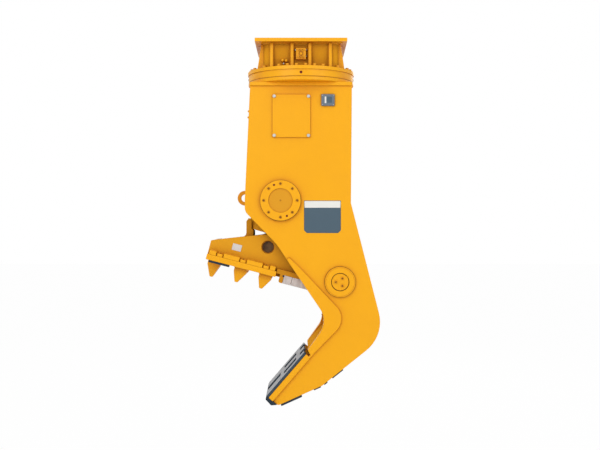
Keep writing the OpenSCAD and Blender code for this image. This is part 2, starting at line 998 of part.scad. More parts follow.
module main_pin() {
    color(steel)
        difference() {
            cross_bar(main_pivot, pin_d / 2, -pin_half, pin_half);
            both_sides()
                difference() {
                    cross_bar(main_pivot, pin_d / 2 + over, pin_half - pin_groove, pin_half + over);
                    cross_bar(
                        main_pivot, pin_d / 2 - pin_groove,
                        pin_half - pin_groove - over, pin_half + 2 * over
                    );
                }
            both_sides()
                pin_dowel(over);
            pin_screw_places()
                translate([0, 0, -pin_screw_depth - over])
                    cylinder(d = pin_screw_d, h = pin_screw_depth + 2 * over, $fn = 24);
        }
}

module pin_screws() {
    color(bright) {
        pin_screw_places()
            socket_screw(pin_screw_d, pin_screw_depth);
        both_sides()
            pin_dowel(0);
    }
}

module trunnion_bushes() {
    color(brass)
        both_sides()
            difference() {
                cross_bar(trunnion, trunnion_bore_r, side_in, side_out);
                cross_bar(trunnion, journal_d / 2 + run_gap, side_in - over, side_out + over);
            }
}

cap_recess_d = 174;
cap_recess = 8;
cap_screw_n = 8;
cap_screw_r = 120;
cap_screw_d = 16;
cap_screw_depth = 18;
jack_hole_d = 12;
jack_turn = 22.5;

module cap_places(turns) {
    for (turn = turns)
        translate([trunnion.x, 0, trunnion.y])
            rotate([0, -turn, 0])
                translate([cap_screw_r, 0, 0])
                    children();
}

cap_turns = [for (i = [0:cap_screw_n - 1]) i * 360 / cap_screw_n];
jack_turns = [90 + jack_turn, 270 + jack_turn];

module trunnion_caps() {
    color(yellow)
        both_sides()
            difference() {
                cross_bar(trunnion, cap_d / 2, side_out, side_out + cap_t);
                cross_bar(
                    trunnion, cap_recess_d / 2,
                    side_out + cap_t - cap_recess, side_out + cap_t + over
                );
                cap_places(cap_turns)
                    translate([0, side_out + cap_t + over, 0])
                        rotate([90, 0, 0])
                            cylinder(
                                d = cap_screw_d * bolt_head_share + bolt_clearance,
                                h = cap_screw_depth + over, $fn = 24
                            );
                cap_places(jack_turns)
                    translate([0, side_out + cap_t + over, 0])
                        rotate([90, 0, 0])
                            cylinder(d = jack_hole_d, h = cap_t + 2 * over, $fn = 24);
            }
}

module cap_screws() {
    color(steel)
        both_sides()
            cap_places(cap_turns)
                translate([0, side_out + cap_t - cap_screw_depth, 0])
                    rotate([-90, 0, 0])
                        socket_screw(cap_screw_d, 0);
}

cover_corner_r = 12;
cover_bolt_inset = 13;
cover_bolt_d = 12;

module access_covers() {
    color(yellow)
        slabs(side_out, side_out + cover_t)
            rounded_rect(cover_centre, cover_w, cover_h, cover_corner_r);
}

hex_head_share = 1.8;
hex_height_share = 0.65;
washer_share = 1.95;
washer_h_share = 0.125;

// A hexagon head on z = 0 with its washer, for plates and covers
module hex_bolt(d) {
    washer_h = d * washer_h_share;
    cylinder(d = washer_share * d, h = washer_h, $fn = 32);
    translate([0, 0, washer_h])
        cylinder(d = hex_head_share * d, h = d * hex_height_share, $fn = 6);
}

module cover_bolts() {
    color(bright)
        both_sides()
            for (x = [-1, 1], z = [-1, 1])
                translate([
                    cover_centre.x + x * (cover_w / 2 - cover_bolt_inset),
                    -side_out - cover_t,
                    cover_centre.y + z * (cover_h / 2 - cover_bolt_inset)
                ])
                    rotate([90, 0, 0])
                        hex_bolt(cover_bolt_d);
}

eye_lead = 13;
eye_rise = 24;

module lifting_eye() {
    centre = [-front_reach - eye_lead, trunnion.y + eye_rise];
    color(yellow)
        slab(-eye_t / 2, eye_t / 2)
            difference() {
                union() {
                    translate(centre)
                        circle(r = eye_r);
                    translate([centre.x, centre.y - eye_r])
                        square([eye_lead + shell_inset + shell_t / 2, 2 * eye_r]);
                }
                translate(centre)
                    circle(d = eye_hole_d);
                polygon(bent_plate(front_path, -shell_inset, -shell_inset - eye_r));
            }
}

// Moving jaw, drawn in the jaw's own frame: X is -u and Z is -n

jaw_out = jaw_w / 2;
jaw_in = jaw_out - jaw_side_t;
sole_top = sole_depth - sole_t;
sole_back = sole_reach - sole_l;
pin_u = crank * cos(crank_angle - sole_slope);
pin_n = -crank * sin(crank_angle - sole_slope);
brow_shares = [1, -0.0562, 0.010];
crown_shares = [0.620, -0.2002, 0.030];
nape_shares = [0.5213, -0.195, 0.060];
blade_back_u = 178;
blade_split_u = 338;
blade_front_u = 400;
lug_l = 31;
heel_u = 130;

function jaw(u, n, r = 0) = [-u, -n, r];
function jaw_shared(s) = jaw(s[0] * sole_reach, s[1] * sole_reach, s[2] * sole_reach);

brow = jaw_shared(brow_shares);
crown = jaw_shared(crown_shares);
nape = jaw_shared(nape_shares);
belly_lift = 5;
belly_depth = blade_depth - belly_lift;
stub_depth = 50;

module jaw_hub_hole() {
    circle(r = hub_r);
}

pin_access_r = 48;

module jaw_side_outline() {
    difference() {
        polygon(rounded([
            jaw(sole_reach, sole_top), brow, crown, nape,
            jaw(0, -hub_r), jaw(0, hub_r), jaw(heel_u, belly_depth),
            jaw(blade_front_u + lug_l, belly_depth), jaw(blade_front_u + lug_l, stub_depth),
            jaw(sole_back, sole_top)
        ]));
        jaw_hub_hole();
        translate([-pin_u, -pin_n])
            circle(r = pin_access_r);
    }
}

module jaw_sides() {
    color(yellow)
        jaw_frame()
            slabs(jaw_in, jaw_out)
                jaw_side_outline();
}

hub_half = side_in - hub_gap;
hub_bore_r = pin_d / 2 + run_gap + bush_wall;

module jaw_hub() {
    color(yellow)
        jaw_frame()
            difference() {
                cross_bar([0, 0], hub_r, -hub_half, hub_half);
                cross_bar([0, 0], hub_bore_r, -hub_half - over, hub_half + over);
            }
}

module jaw_bushes() {
    color(brass)
        jaw_frame()
            both_sides()
                difference() {
                    cross_bar([0, 0], hub_bore_r, hub_half - bush_l, hub_half);
                    cross_bar([0, 0], pin_d / 2 + run_gap, hub_half - bush_l - over, hub_half + over);
                }
}

jaw_plate_t = 20;
guard_u0 = 706;
guard_u1 = 750;
guard_n = 198;
guard_half = 100;
crown_slope = (crown.y - brow.y) / (crown.x - brow.x);

// Height of the jaw's sloping top over a place u
function top_n(u) = -(brow.y + crown_slope * (-u - brow.x));

module jaw_top_plate() {
    color(yellow)
        jaw_frame()
            slab(-jaw_in, jaw_in)
                polygon([
                    [brow.x, brow.y], [-guard_u0, -top_n(guard_u0)],
                    [-guard_u0, -top_n(guard_u0) - jaw_plate_t], [brow.x, brow.y - jaw_plate_t]
                ]);
}

module rod_guard() {
    color(yellow)
        jaw_frame()
            slab(-guard_half, guard_half)
                polygon([
                    [-guard_u1, -top_n(guard_u1)], [-guard_u1, guard_n],
                    [-guard_u0, guard_n], [-guard_u0, -top_n(guard_u0)]
                ]);
}

front_web_u = 722;
rear_web_u = 350;
rear_web_n = 100;
lug_in = 75;
lug_t = 40;
lug_out = lug_in + lug_t;
pin_lug_r = 80;
jaw_belly_n = 62;

// Cross webs, front plate and belly plate between the jaw's side plates
module jaw_webs() {
    color(yellow)
        jaw_frame()
            union() {
                slab(-jaw_in, jaw_in)
                    polygon([
                        [-front_web_u, -sole_top],
                        [-front_web_u, -top_n(front_web_u) - jaw_plate_t],
                        [-front_web_u - jaw_plate_t, -top_n(front_web_u + jaw_plate_t) - jaw_plate_t],
                        [-front_web_u - jaw_plate_t, -sole_top]
                    ]);
                slab(-jaw_in, jaw_in)
                    polygon([
                        [brow.x, brow.y - jaw_plate_t],
                        [brow.x + jaw_plate_t, brow.y - jaw_plate_t + crown_slope * jaw_plate_t],
                        [brow.x + jaw_plate_t, -sole_top],
                        [brow.x, -sole_top]
                    ]);
                slab(-jaw_in, jaw_in)
                    moving_strip(hub_r, sole_back, jaw_belly_n, jaw_belly_n + jaw_plate_t);
                for (y = [[-jaw_in, -lug_out], [-lug_in, lug_in], [lug_out, jaw_in]])
                    slab(y[0], y[1])
                        moving_strip(rear_web_u, rear_web_u + jaw_plate_t, -rear_web_n, jaw_belly_n);
            }
}

// The two inner plates that hold the rod pin, with their bosses out to the side plates
module rod_lugs() {
    color(yellow)
        jaw_frame()
            both_sides()
                difference() {
                    union() {
                        slab(lug_in, lug_out)
                            difference() {
                                union() {
                                    translate([-pin_u, -pin_n])
                                        circle(r = pin_lug_r);
                                    polygon([
                                        [-pin_u, pin_lug_r - pin_n], [0, hub_r], [0, -jaw_belly_n],
                                        [-sole_back, -jaw_belly_n], [-sole_back, -sole_top],
                                        [-pin_u - pin_lug_r, -sole_top], [-pin_u - pin_lug_r, -pin_n]
                                    ]);
                                }
                                jaw_hub_hole();
                            }
                        cross_bar([-pin_u, -pin_n], pin_lug_r - lug_t / 4, lug_out - over, jaw_in);
                    }
                    cross_bar([-pin_u, -pin_n], rod_pin_d / 2 + run_gap, lug_in - over, jaw_in + over);
                }
}

pin_inset = 12;

module rod_pin() {
    color(steel)
        jaw_frame()
            cross_bar([-pin_u, -pin_n], rod_pin_d / 2, -jaw_in + pin_inset, jaw_in - pin_inset);
}

module sole_plate() {
    color(steel)
        jaw_frame()
            slab(-sole_w / 2, sole_w / 2)
                moving_strip(sole_back, sole_reach, sole_top, sole_depth);
}

rail_h = 30;
rail_end = 14;
pocket_w = 56;
pocket_u0 = 542;
pocket_pitch = 172.5;
pocket_n = 3;
pocket_places = [for (i = [0:pocket_n - 1]) pocket_u0 + i * pocket_pitch];

// Rails above the sole plate, with a round-ended pocket for each bolt
module jaw_rails() {
    color(yellow)
        jaw_frame()
            both_sides()
                difference() {
                    slab(jaw_out, sole_w / 2)
                        moving_strip(
                            sole_back + rail_end, sole_reach - rail_end, sole_top - rail_h, sole_top
                        );
                    for (u = pocket_places) {
                        translate([-u, jaw_out + pocket_w / 2, -sole_top - over])
                            cylinder(d = pocket_w, h = rail_h + 2 * over);
                        translate([-u - pocket_w / 2, jaw_out + pocket_w / 2, -sole_top - over])
                            cube([pocket_w, sole_w, rail_h + 2 * over]);
                    }
                }
}

sole_bolt_d = 22;
sole_bolt_y = 223;

module sole_bolts() {
    color(steel)
        jaw_frame()
            both_sides()
                for (u = pocket_places)
                    translate([-u, sole_bolt_y, -sole_top])
                        hex_bolt(sole_bolt_d);
}

strip_t = 15;
strip_u0 = 802;
strip_u1 = 956;

module sole_strips() {
    color(dark)
        jaw_frame()
            slabs(jaw_out, sole_w / 2)
                moving_strip(strip_u0, strip_u1, sole_depth, sole_depth + strip_t);
}

tip_half = 11;
collar_share = 0.30;
front_tooth_u = 928;
middle_tooth_u = 731;
back_tooth_u = 545;
tooth_back_share = 0.63;
tip_w_share = 0.42;

// One tooth on the sole: its side profile crossed with its taper across the width
module tooth(u, y, h, w, back_share) {
    root = -sole_depth;
    collar = root - collar_share * h;
    tip = root - h;
    back = u - back_share * tooth_l;
    front = back + tooth_l;
    tip_w = tip_w_share * w;
    intersection() {
        slab(y - w / 2, y + w / 2)
            polygon([
                [-front, root], [-front, collar], [-u - tip_half, tip],
                [-u + tip_half, tip], [-back, collar], [-back, root]
            ]);
        translate([-front - over, y, 0])
            rotate([90, 0, 90])
                linear_extrude(tooth_l + 2 * over)
                    polygon([
                        [-w / 2, root], [w / 2, root], [w / 2, collar], [tip_w / 2, tip],
                        [-tip_w / 2, tip], [-w / 2, collar]
                    ]);
    }
}

module teeth() {
    color(steel)
        jaw_frame() {
            tooth(front_tooth_u, 0, front_tooth_h, front_tooth_w, 0.5);
            for (u = [middle_tooth_u, back_tooth_u], y = [-tooth_y, tooth_y])
                tooth(u, y, tooth_h, side_tooth_w, tooth_back_share);
        }
}

blade_out = fixed_blade_in - blade_gap;
blade_top = blade_depth - blade_h;
blade_joint = 2;

module moving_blades() {
    color(bright)
        jaw_frame()
            both_sides()
                for (span = [[blade_back_u, blade_split_u], [blade_split_u + blade_joint, blade_front_u]])
                    slab(blade_out - blade_t, blade_out)
                        moving_strip(span[0], span[1], blade_top, blade_depth);
}

seat_h = 35;

// Seat bars above the blades and the lugs that hold the blades' front ends
module blade_seats() {
    color(yellow)
        jaw_frame()
            both_sides() {
                slab(jaw_out, blade_out)
                    moving_strip(heel_u, sole_back, blade_top - seat_h, blade_top);
                slab(jaw_out, blade_out)
                    polygon(rounded([
                        jaw(blade_front_u + blade_joint / 2, blade_top),
                        jaw(blade_front_u + blade_joint / 2, blade_depth),
                        jaw(blade_front_u + lug_l, blade_depth, lug_l / 2),
                        jaw(blade_front_u + lug_l, blade_top)
                    ]));
            }
}

// Cylinder, drawn along its own axis with the trunnion at the origin

trunnion_ring_h = 170;
tube_foot = -gland_face + gland_h;
tube_flange_h = 40;
spigot_h = 30;
journal_end = 4;

module cylinder_tube() {
    color(yellow)
        on_cylinder()
            difference() {
                union() {
                    translate([0, 0, tube_foot])
                        cylinder(d = tube_d, h = tube_rise - tube_foot);
                    translate([0, 0, tube_foot])
                        cylinder(d = gland_d, h = tube_flange_h);
                }
                translate([0, 0, tube_foot - over])
                    cylinder(d = bore_d, h = tube_rise - tube_foot + 2 * over);
            }
}

module trunnion_ring() {
    color(yellow)
        on_cylinder()
            difference() {
                union() {
                    translate([0, 0, -trunnion_ring_h / 2])
                        cylinder(d = gland_d, h = trunnion_ring_h);
                    cross_bar([0, 0], journal_d / 2, -side_out + journal_end, side_out - journal_end);
                }
                translate([0, 0, -trunnion_ring_h])
                    cylinder(d = tube_d, h = 2 * trunnion_ring_h);
            }
}

module gland_head() {
    color(steel)
        on_cylinder()
            difference() {
                union() {
                    translate([0, 0, -gland_face])
                        cylinder(d = gland_d, h = gland_h);
                    translate([0, 0, tube_foot - over])
                        cylinder(d = bore_d - 2 * run_gap, h = spigot_h + over);
                }
                translate([0, 0, -gland_face - over])
                    cylinder(d = rod_d + 2 * run_gap, h = gland_h + spigot_h + 2 * over);
            }
}

gland_screw_n = 12;
gland_screw_d = 16;

module gland_screws() {
    color(dark)
        on_cylinder()
            for (i = [0:gland_screw_n - 1])
                rotate([0, 0, (i + 0.5) * 360 / gland_screw_n])
                    translate([(tube_d + gland_d) / 4, 0, tube_foot + tube_flange_h])
                        socket_screw(gland_screw_d, 0);
}

base_cap_h = 50;
port_block = [80, 60, 42];

module cylinder_base() {
    color(yellow)
        on_cylinder()
            union() {
                translate([0, 0, tube_rise])
                    cylinder(d = tube_d, h = base_cap_h);
                translate([-port_block.x / 2, -port_block.y / 2, tube_rise + base_cap_h])
                    cube(port_block);
            }
}

piston_h = 110;
piston_play = 8;
piston_foot = tube_foot + spigot_h + stroke + piston_play;
stem_d = 100;
nut_h = 30;
nut_d = 150;
rod_proud = 4;
rod_foot = -gland_face - rod_proud;

module piston_rod() {
    color(bright)
        on_cylinder()
            union() {
                translate([0, 0, rod_foot])
                    cylinder(d = rod_d, h = piston_foot - rod_foot);
                translate([0, 0, piston_foot])
                    cylinder(d = stem_d, h = piston_h + nut_h);
            }
}

// The piston and the nut that holds it on the rod
module piston() {
    color(steel)
        on_cylinder()
            difference() {
                union() {
                    translate([0, 0, piston_foot])
                        cylinder(d = bore_d - 2 * run_gap, h = piston_h);
                    translate([0, 0, piston_foot + piston_h])
                        cylinder(d = nut_d, h = nut_h, $fn = 6);
                }
                translate([0, 0, piston_foot - over])
                    cylinder(d = stem_d, h = piston_h + nut_h + 2 * over);
            }
}

module rod_eye() {
    color(steel)
        on_cylinder()
            difference() {
                cross_bar([0, -rod_drop], rod_eye_d / 2, -rod_eye_w / 2, rod_eye_w / 2);
                cross_bar([0, -rod_drop], rod_eye_bore_d / 2, -rod_eye_w / 2 - over, rod_eye_w / 2 + over);
                translate([-rod_eye_d / 2, -rod_eye_w, rod_foot])
                    cube([rod_eye_d, 2 * rod_eye_w, rod_eye_d]);
            }
}

adapter_plate();
head_box();
head_ribs();
head_flange();
slew_ring_outer();
slew_bolts();
ring_plugs();
port_manifold();
union_body();
union_stem();
slew_ring_inner();
slew_balls();
neck_ring();
top_plate();
side_plate_near();
side_plate_far();
front_plate();
rear_shell();
doublers();
throat_plate();
lower_wear_plate();
lower_base_plate();
lower_ribs();
nose_bar();
fixed_blades();
wear_bars();
pin_bosses();
main_pin();
pin_screws();
trunnion_bushes();
trunnion_caps();
cap_screws();
access_covers();
cover_bolts();
lifting_eye();
jaw_sides();
jaw_hub();
jaw_bushes();
jaw_top_plate();
rod_guard();
jaw_webs();
rod_lugs();
rod_pin();
sole_plate();
jaw_rails();
sole_bolts();
sole_strips();
teeth();
moving_blades();
blade_seats();
cylinder_tube();
trunnion_ring();
gland_head();
gland_screws();
cylinder_base();
piston_rod();
piston();
rod_eye();
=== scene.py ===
"""Studio scene of the concrete pulverizer: paint, steel, welds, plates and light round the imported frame."""

import json
import math

import bmesh
import bpy
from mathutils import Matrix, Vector


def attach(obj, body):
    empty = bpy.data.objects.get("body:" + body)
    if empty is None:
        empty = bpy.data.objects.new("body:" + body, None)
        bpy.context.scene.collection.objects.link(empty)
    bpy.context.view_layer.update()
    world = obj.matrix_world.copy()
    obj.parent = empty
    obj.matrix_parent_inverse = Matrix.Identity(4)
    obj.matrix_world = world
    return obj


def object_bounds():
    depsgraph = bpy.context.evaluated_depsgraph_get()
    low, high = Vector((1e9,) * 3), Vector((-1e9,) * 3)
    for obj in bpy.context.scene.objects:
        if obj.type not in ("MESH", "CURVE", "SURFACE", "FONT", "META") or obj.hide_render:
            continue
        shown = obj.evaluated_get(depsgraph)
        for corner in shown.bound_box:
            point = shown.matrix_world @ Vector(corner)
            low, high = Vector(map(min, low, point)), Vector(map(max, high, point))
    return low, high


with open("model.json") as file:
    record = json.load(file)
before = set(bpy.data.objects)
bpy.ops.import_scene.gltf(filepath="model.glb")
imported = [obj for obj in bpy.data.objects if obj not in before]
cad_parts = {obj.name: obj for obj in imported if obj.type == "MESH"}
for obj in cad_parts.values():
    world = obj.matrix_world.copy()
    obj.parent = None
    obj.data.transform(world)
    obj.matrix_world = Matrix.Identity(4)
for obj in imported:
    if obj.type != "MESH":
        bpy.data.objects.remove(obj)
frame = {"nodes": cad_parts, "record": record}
cad_box = [list(corner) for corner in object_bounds()]

# Places on the tool, in metres

X, Y, Z = Vector((1, 0, 0)), Vector((0, 1, 0)), Vector((0, 0, 1))
NEAR = -Y
ABOVE, BELOW = Z, -Z
SIDES = (("near", -1), ("far", 1))
CORNERS = ((-1, -1), (1, -1), (1, 1), (-1, 1))

# Outer and inner face of the housing's side plates, wall of the head's box, face of the ports in it
SIDE_OUT, SIDE_IN, HEAD_WALL, PORT_FACE = 0.280, 0.240, 0.270, 0.290
# Underside of the ring on the neck, half length of the top plate, top of the housing's walls
NECK_UNDER, TOP_HALF, WALL_TOP = -0.307, 0.366, -0.337
# Outer face of the jaw's cheeks, and the sole's underside as n of a place on the moving jaw
CHEEK_OUT, SOLE_UNDER = 0.200, 0.085
# Main pin, the cylinder's trunnions and the screw circles of both
PIN = Vector((0.281, 0.0, -1.744))
TRUNNION = Vector((-0.147, 0.0, -1.159))
PIN_CIRCLE, CAP_CIRCLE = 0.031, 0.120
# Slope of the fixed jaw's mouth, the way that its wear plate faces, slope of the moving jaw's sole
MOUTH_ANGLE = math.radians(49.2)
MOUTH_SIDE = (-0.757, 0.0, 0.6534)
SOLE_SLOPE = math.radians(14.5)


def fixed(v, n, y=0.0):
    """A place on the fixed jaw: v from the main pin to the tip, n across the wear plate."""
    c, s = math.cos(MOUTH_ANGLE), math.sin(MOUTH_ANGLE)
    return PIN + Vector((-v * c - n * s, y, -v * s + n * c))


def moving(u, n, y=0.0):
    """A place on the moving jaw: u from the main pin to the tip, n down towards the sole."""
    c, s = math.cos(SOLE_SLOPE), math.sin(SOLE_SLOPE)
    return PIN + Vector((-u * c - n * s, y, u * s - n * c))


# Shader helpers


def add(tree, kind, inputs=None, **settings):
    """A shader node with its settings; an input is a plain value or another node's output."""
    made = tree.nodes.new(kind)
    for key, value in settings.items():
        setattr(made, key, value)
    for key, value in (inputs or {}).items():
        if isinstance(value, bpy.types.NodeSocket):
            tree.links.new(value, made.inputs[key])
        else:
            made.inputs[key].default_value = value
    return made


def mixed(tree, factor, a, b):
    """The colour between a and b."""
    return add(tree, "ShaderNodeMix", {0: factor, 6: a, 7: b}, data_type="RGBA").outputs[2]


def spread(tree, value, low, high, to_low=0.0, to_high=1.0, ends="SMOOTHSTEP"):
    """A value stretched from low..high to to_low..to_high, with soft ends unless they are LINEAR."""
    made = add(
        tree, "ShaderNodeMapRange",
        {"Value": value, "From Min": low, "From Max": high, "To Min": to_low, "To Max": to_high},
        interpolation_type=ends,
    )
    return made.outputs["Result"]


def noise(tree, vector, scale, detail=3.0, roughness=0.55):
    """A noise value at a place."""
    return add(
        tree, "ShaderNodeTexNoise",
        {"Vector": vector, "Scale": scale, "Detail": detail, "Roughness": roughness},
    ).outputs["Fac"]


def combined(tree, operation, a, b):
    """The result of one arithmetic operation on two values."""
    return add(tree, "ShaderNodeMath", {0: a, 1: b}, operation=operation).outputs[0]


def times(tree, a, b):
    return combined(tree, "MULTIPLY", a, b)


def plus(tree, a, b):
    return combined(tree, "ADD", a, b)


def new_group(name, inputs, outputs):
    """An empty node group with named sockets, its tree, its input node and its output node."""
    tree = bpy.data.node_groups.new(name, "ShaderNodeTree")
    for label, kind, value in inputs:
        socket = tree.interface.new_socket(label, in_out="INPUT", socket_type=kind)
        socket.default_value = value
    for label, kind in outputs:
        tree.interface.new_socket(label, in_out="OUTPUT", socket_type=kind)
    return tree, tree.nodes.new("NodeGroupInput"), tree.nodes.new("NodeGroupOutput")


COLOUR, VALUE, VECTOR = "NodeSocketColor", "NodeSocketFloat", "NodeSocketVector"
WHITE = (1.0, 1.0, 1.0, 1.0)
SURFACE = [("Colour", COLOUR), ("Roughness", VALUE), ("Height", VALUE)]


def group_paint_coat():
    """Sprayed paint: slow shifts of tone, a fine orange peel and a roughness that wanders."""
    tree, gin, gout = new_group(
        "paint_coat",
        [("Colour", COLOUR, WHITE), ("Faded", COLOUR, WHITE), ("Fade", VALUE, 0.4),
         ("Gloss", VALUE, 0.4), ("Peel", VALUE, 1.0)],
        SURFACE,
    )
    place = add(tree, "ShaderNodeTexCoord").outputs["Object"]
    patches = spread(tree, noise(tree, place, 2.3, 4.0), 0.35, 0.72)
    cloud = spread(tree, noise(tree, place, 14.0, 3.0), 0.3, 0.8, 0.0, 0.45)
    tone = times(tree, plus(tree, patches, cloud), gin.outputs["Fade"])
    peel = plus(
        tree,
        times(tree, noise(tree, place, 260.0, 2.0), 0.75),
        times(tree, noise(tree, place, 70.0, 2.0), 0.6),
    )
    wander = spread(tree, noise(tree, place, 9.0, 5.0), 0.3, 0.7, -0.05, 0.07)
    shine = plus(tree, gin.outputs["Gloss"], wander)
    links = tree.links
    links.new(mixed(tree, tone, gin.outputs["Colour"], gin.outputs["Faded"]), gout.inputs["Colour"])
    links.new(shine, gout.inputs["Roughness"])
    links.new(times(tree, peel, gin.outputs["Peel"]), gout.inputs["Height"])
    return tree


def group_settled_dust():
    """Pale dust that lies on the faces turned up, broken by noise."""
    tree, gin, gout = new_group(
        "settled_dust",
        [("Colour", COLOUR, WHITE), ("Dust", COLOUR, (0.6, 0.55, 0.45, 1.0)), ("Amount", VALUE, 0.3)],
        [("Colour", COLOUR), ("Mask", VALUE)],
    )
    coords = add(tree, "ShaderNodeTexCoord")
    upward = add(tree, "ShaderNodeSeparateXYZ", {0: coords.outputs["Normal"]}).outputs["Z"]
    lying = spread(tree, upward, 0.25, 0.95)
    broken = spread(tree, noise(tree, coords.outputs["Object"], 7.0, 7.0, 0.6), 0.3, 0.8)
    mask = times(tree, times(tree, lying, broken), gin.outputs["Amount"])
    tree.links.new(mixed(tree, mask, gin.outputs["Colour"], gin.outputs["Dust"]), gout.inputs["Colour"])
    tree.links.new(mask, gout.inputs["Mask"])
    return tree


def group_worked_steel():
    """Turned, ground or drawn steel: fine lines along one direction and a little staining."""
    tree, gin, gout = new_group(
        "worked_steel",
        [("Colour", COLOUR, WHITE), ("Line", COLOUR, WHITE), ("Stretch", VECTOR, (1.0, 1.0, 1.0)),
         ("Pitch", VALUE, 300.0), ("Gloss", VALUE, 0.35), ("Stain", VALUE, 0.3)],
        SURFACE,
    )
    place = add(tree, "ShaderNodeTexCoord").outputs["Object"]
    drawn = add(
        tree, "ShaderNodeVectorMath", {0: place, 1: gin.outputs["Stretch"]}, operation="MULTIPLY"
    ).outputs[0]
    lines = add(
        tree, "ShaderNodeTexNoise",
        {"Vector": drawn, "Scale": gin.outputs["Pitch"], "Detail": 3.0, "Roughness": 0.6},
    ).outputs["Fac"]
    stain = times(tree, spread(tree, noise(tree, place, 26.0, 5.0), 0.42, 0.72), gin.outputs["Stain"])
    share = plus(tree, spread(tree, lines, 0.35, 0.65, 0.0, 0.6), stain)
    tree.links.new(mixed(tree, share, gin.outputs["Colour"], gin.outputs["Line"]), gout.inputs["Colour"])
    uneven = plus(tree, spread(tree, lines, 0.3, 0.7, -0.05, 0.08), times(tree, stain, 0.3))
    tree.links.new(plus(tree, gin.outputs["Gloss"], uneven), gout.inputs["Roughness"])
    tree.links.new(lines, gout.inputs["Height"])
    return tree


def group_mill_scale():
    """Rolled wear plate and hard facing: cloudy scale, small pits and paler worn patches."""
    tree, gin, gout = new_group(
        "mill_scale",
        [("Colour", COLOUR, WHITE), ("Pale", COLOUR, WHITE), ("Grain", VALUE, 60.0),
         ("Gloss", VALUE, 0.5), ("Worn", VALUE, 0.5)],
        SURFACE,
    )
    place = add(tree, "ShaderNodeTexCoord").outputs["Object"]
    cloud = spread(tree, noise(tree, place, 11.0, 5.0, 0.6), 0.36, 0.66)
    pits = add(
        tree, "ShaderNodeTexVoronoi", {"Vector": place, "Scale": gin.outputs["Grain"]}
    ).outputs["Distance"]
    speckle = spread(tree, noise(tree, place, 180.0, 3.0, 0.7), 0.4, 0.7)
    patches = plus(tree, times(tree, cloud, 0.7), times(tree, speckle, 0.35))
    tone = times(tree, patches, gin.outputs["Worn"])
    tree.links.new(mixed(tree, tone, gin.outputs["Colour"], gin.outputs["Pale"]), gout.inputs["Colour"])
    tree.links.new(plus(tree, gin.outputs["Gloss"], times(tree, cloud, 0.12)), gout.inputs["Roughness"])
    tree.links.new(plus(tree, times(tree, pits, 0.7), times(tree, speckle, 0.5)), gout.inputs["Height"])
    return tree


GROUPS = {
    "paint_coat": group_paint_coat(),
    "settled_dust": group_settled_dust(),
    "worked_steel": group_worked_steel(),
    "mill_scale": group_mill_scale(),
}


def rgb(r, g, b):
    """A linear colour from the 0 to 255 numbers of a screen colour."""
    linear = [(c / 255 / 12.92) if c <= 10 else ((c / 255 + 0.055) / 1.055) ** 2.4 for c in (r, g, b)]
    return (*linear, 1.0)


# Reach of the ambient occlusion that paints shade into deep places, and into places next to a corner
WIDE_REACH, CLOSE_REACH = 0.35, 0.015


def finish_material(name, tree_of, group_inputs, relief, dust=None, painted_shade=None, facing=None, **shader):
    """A material from one surface group, some dust, painted shade in crevices and deep places, and a
    Principled shader.

    painted_shade is the painted shade tone of deep places, the painted shade tone next to corners, and the
    open shares of sky from which and up to which the deep tone fades; ambient occlusion sets how much shade
    is painted. facing is a direction and two colours: the faces turned that way keep the surface, the others
    take a shade between the colours.
    """
    mat = bpy.data.materials.new(name)
    mat.use_nodes = True
    tree = mat.node_tree
    bsdf = tree.nodes["Principled BSDF"]
    for key, value in shader.items():
        bsdf.inputs[key.replace("_", " ")].default_value = value
    coat = add(tree, "ShaderNodeGroup", node_tree=GROUPS[tree_of])
    for key, value in group_inputs.items():
        coat.inputs[key].default_value = value
    colour = coat.outputs["Colour"]
    rough = coat.outputs["Roughness"]
    if dust:
        film = add(tree, "ShaderNodeGroup", node_tree=GROUPS["settled_dust"])
        film.inputs["Amount"].default_value = dust
        tree.links.new(colour, film.inputs["Colour"])
        colour = film.outputs["Colour"]
        rough = plus(tree, rough, times(tree, film.outputs["Mask"], 0.4))
    if facing:
        towards, dark, light = facing
        normal = add(tree, "ShaderNodeTexCoord").outputs["Normal"]
        turned = add(
            tree, "ShaderNodeVectorMath", {0: normal, 1: towards}, operation="DOT_PRODUCT"
        ).outputs["Value"]
        shade = mixed(tree, coat.outputs["Height"], dark, light)
        colour = mixed(tree, spread(tree, turned, 0.75, 0.97), shade, colour)
    # Painted shade: ambient occlusion darkens deep places and places next to corners towards the painted
    # shade tones
    if painted_shade:
        deep, near_corner, low, high = painted_shade
        wide, close = (
            add(tree, "ShaderNodeAmbientOcclusion", {"Distance": reach}, samples=6).outputs["AO"]
            for reach in (WIDE_REACH, CLOSE_REACH)
        )
        colour = mixed(tree, spread(tree, wide, low, high, ends="LINEAR"), deep, colour)
        colour = mixed(tree, spread(tree, close, 0.15, 0.9, 0.12, 1.0), near_corner, colour)
    bump = add(
        tree, "ShaderNodeBump", {"Height": coat.outputs["Height"], "Strength": 1.0, "Distance": relief}
    )
    tree.links.new(colour, bsdf.inputs["Base Color"])
    tree.links.new(rough, bsdf.inputs["Roughness"])
    tree.links.new(bump.outputs["Normal"], bsdf.inputs["Normal"])
    return mat


# Painted shade tones of crevices and deep places on the open walls, in the sheltered inside and on the moving
# jaw
OPEN_PAINTED_SHADE_TONES = (rgb(214, 141, 24), rgb(188, 114, 20), 0.42, 1.0)
SHELTERED_PAINTED_SHADE_TONES = (rgb(160, 104, 32), rgb(162, 99, 28), 0.28, 1.0)
JAW_PAINTED_SHADE_TONES = (rgb(184, 122, 34), rgb(168, 104, 28), 0.15, 1.0)
# Bare blade steel, its drawn lines and the way they run
BLADE, BLADE_LINE = rgb(206, 194, 188), rgb(168, 158, 154)
BLADE_STRETCH, BLADE_PITCH = (0.35, 1.0, 0.05), 90.0


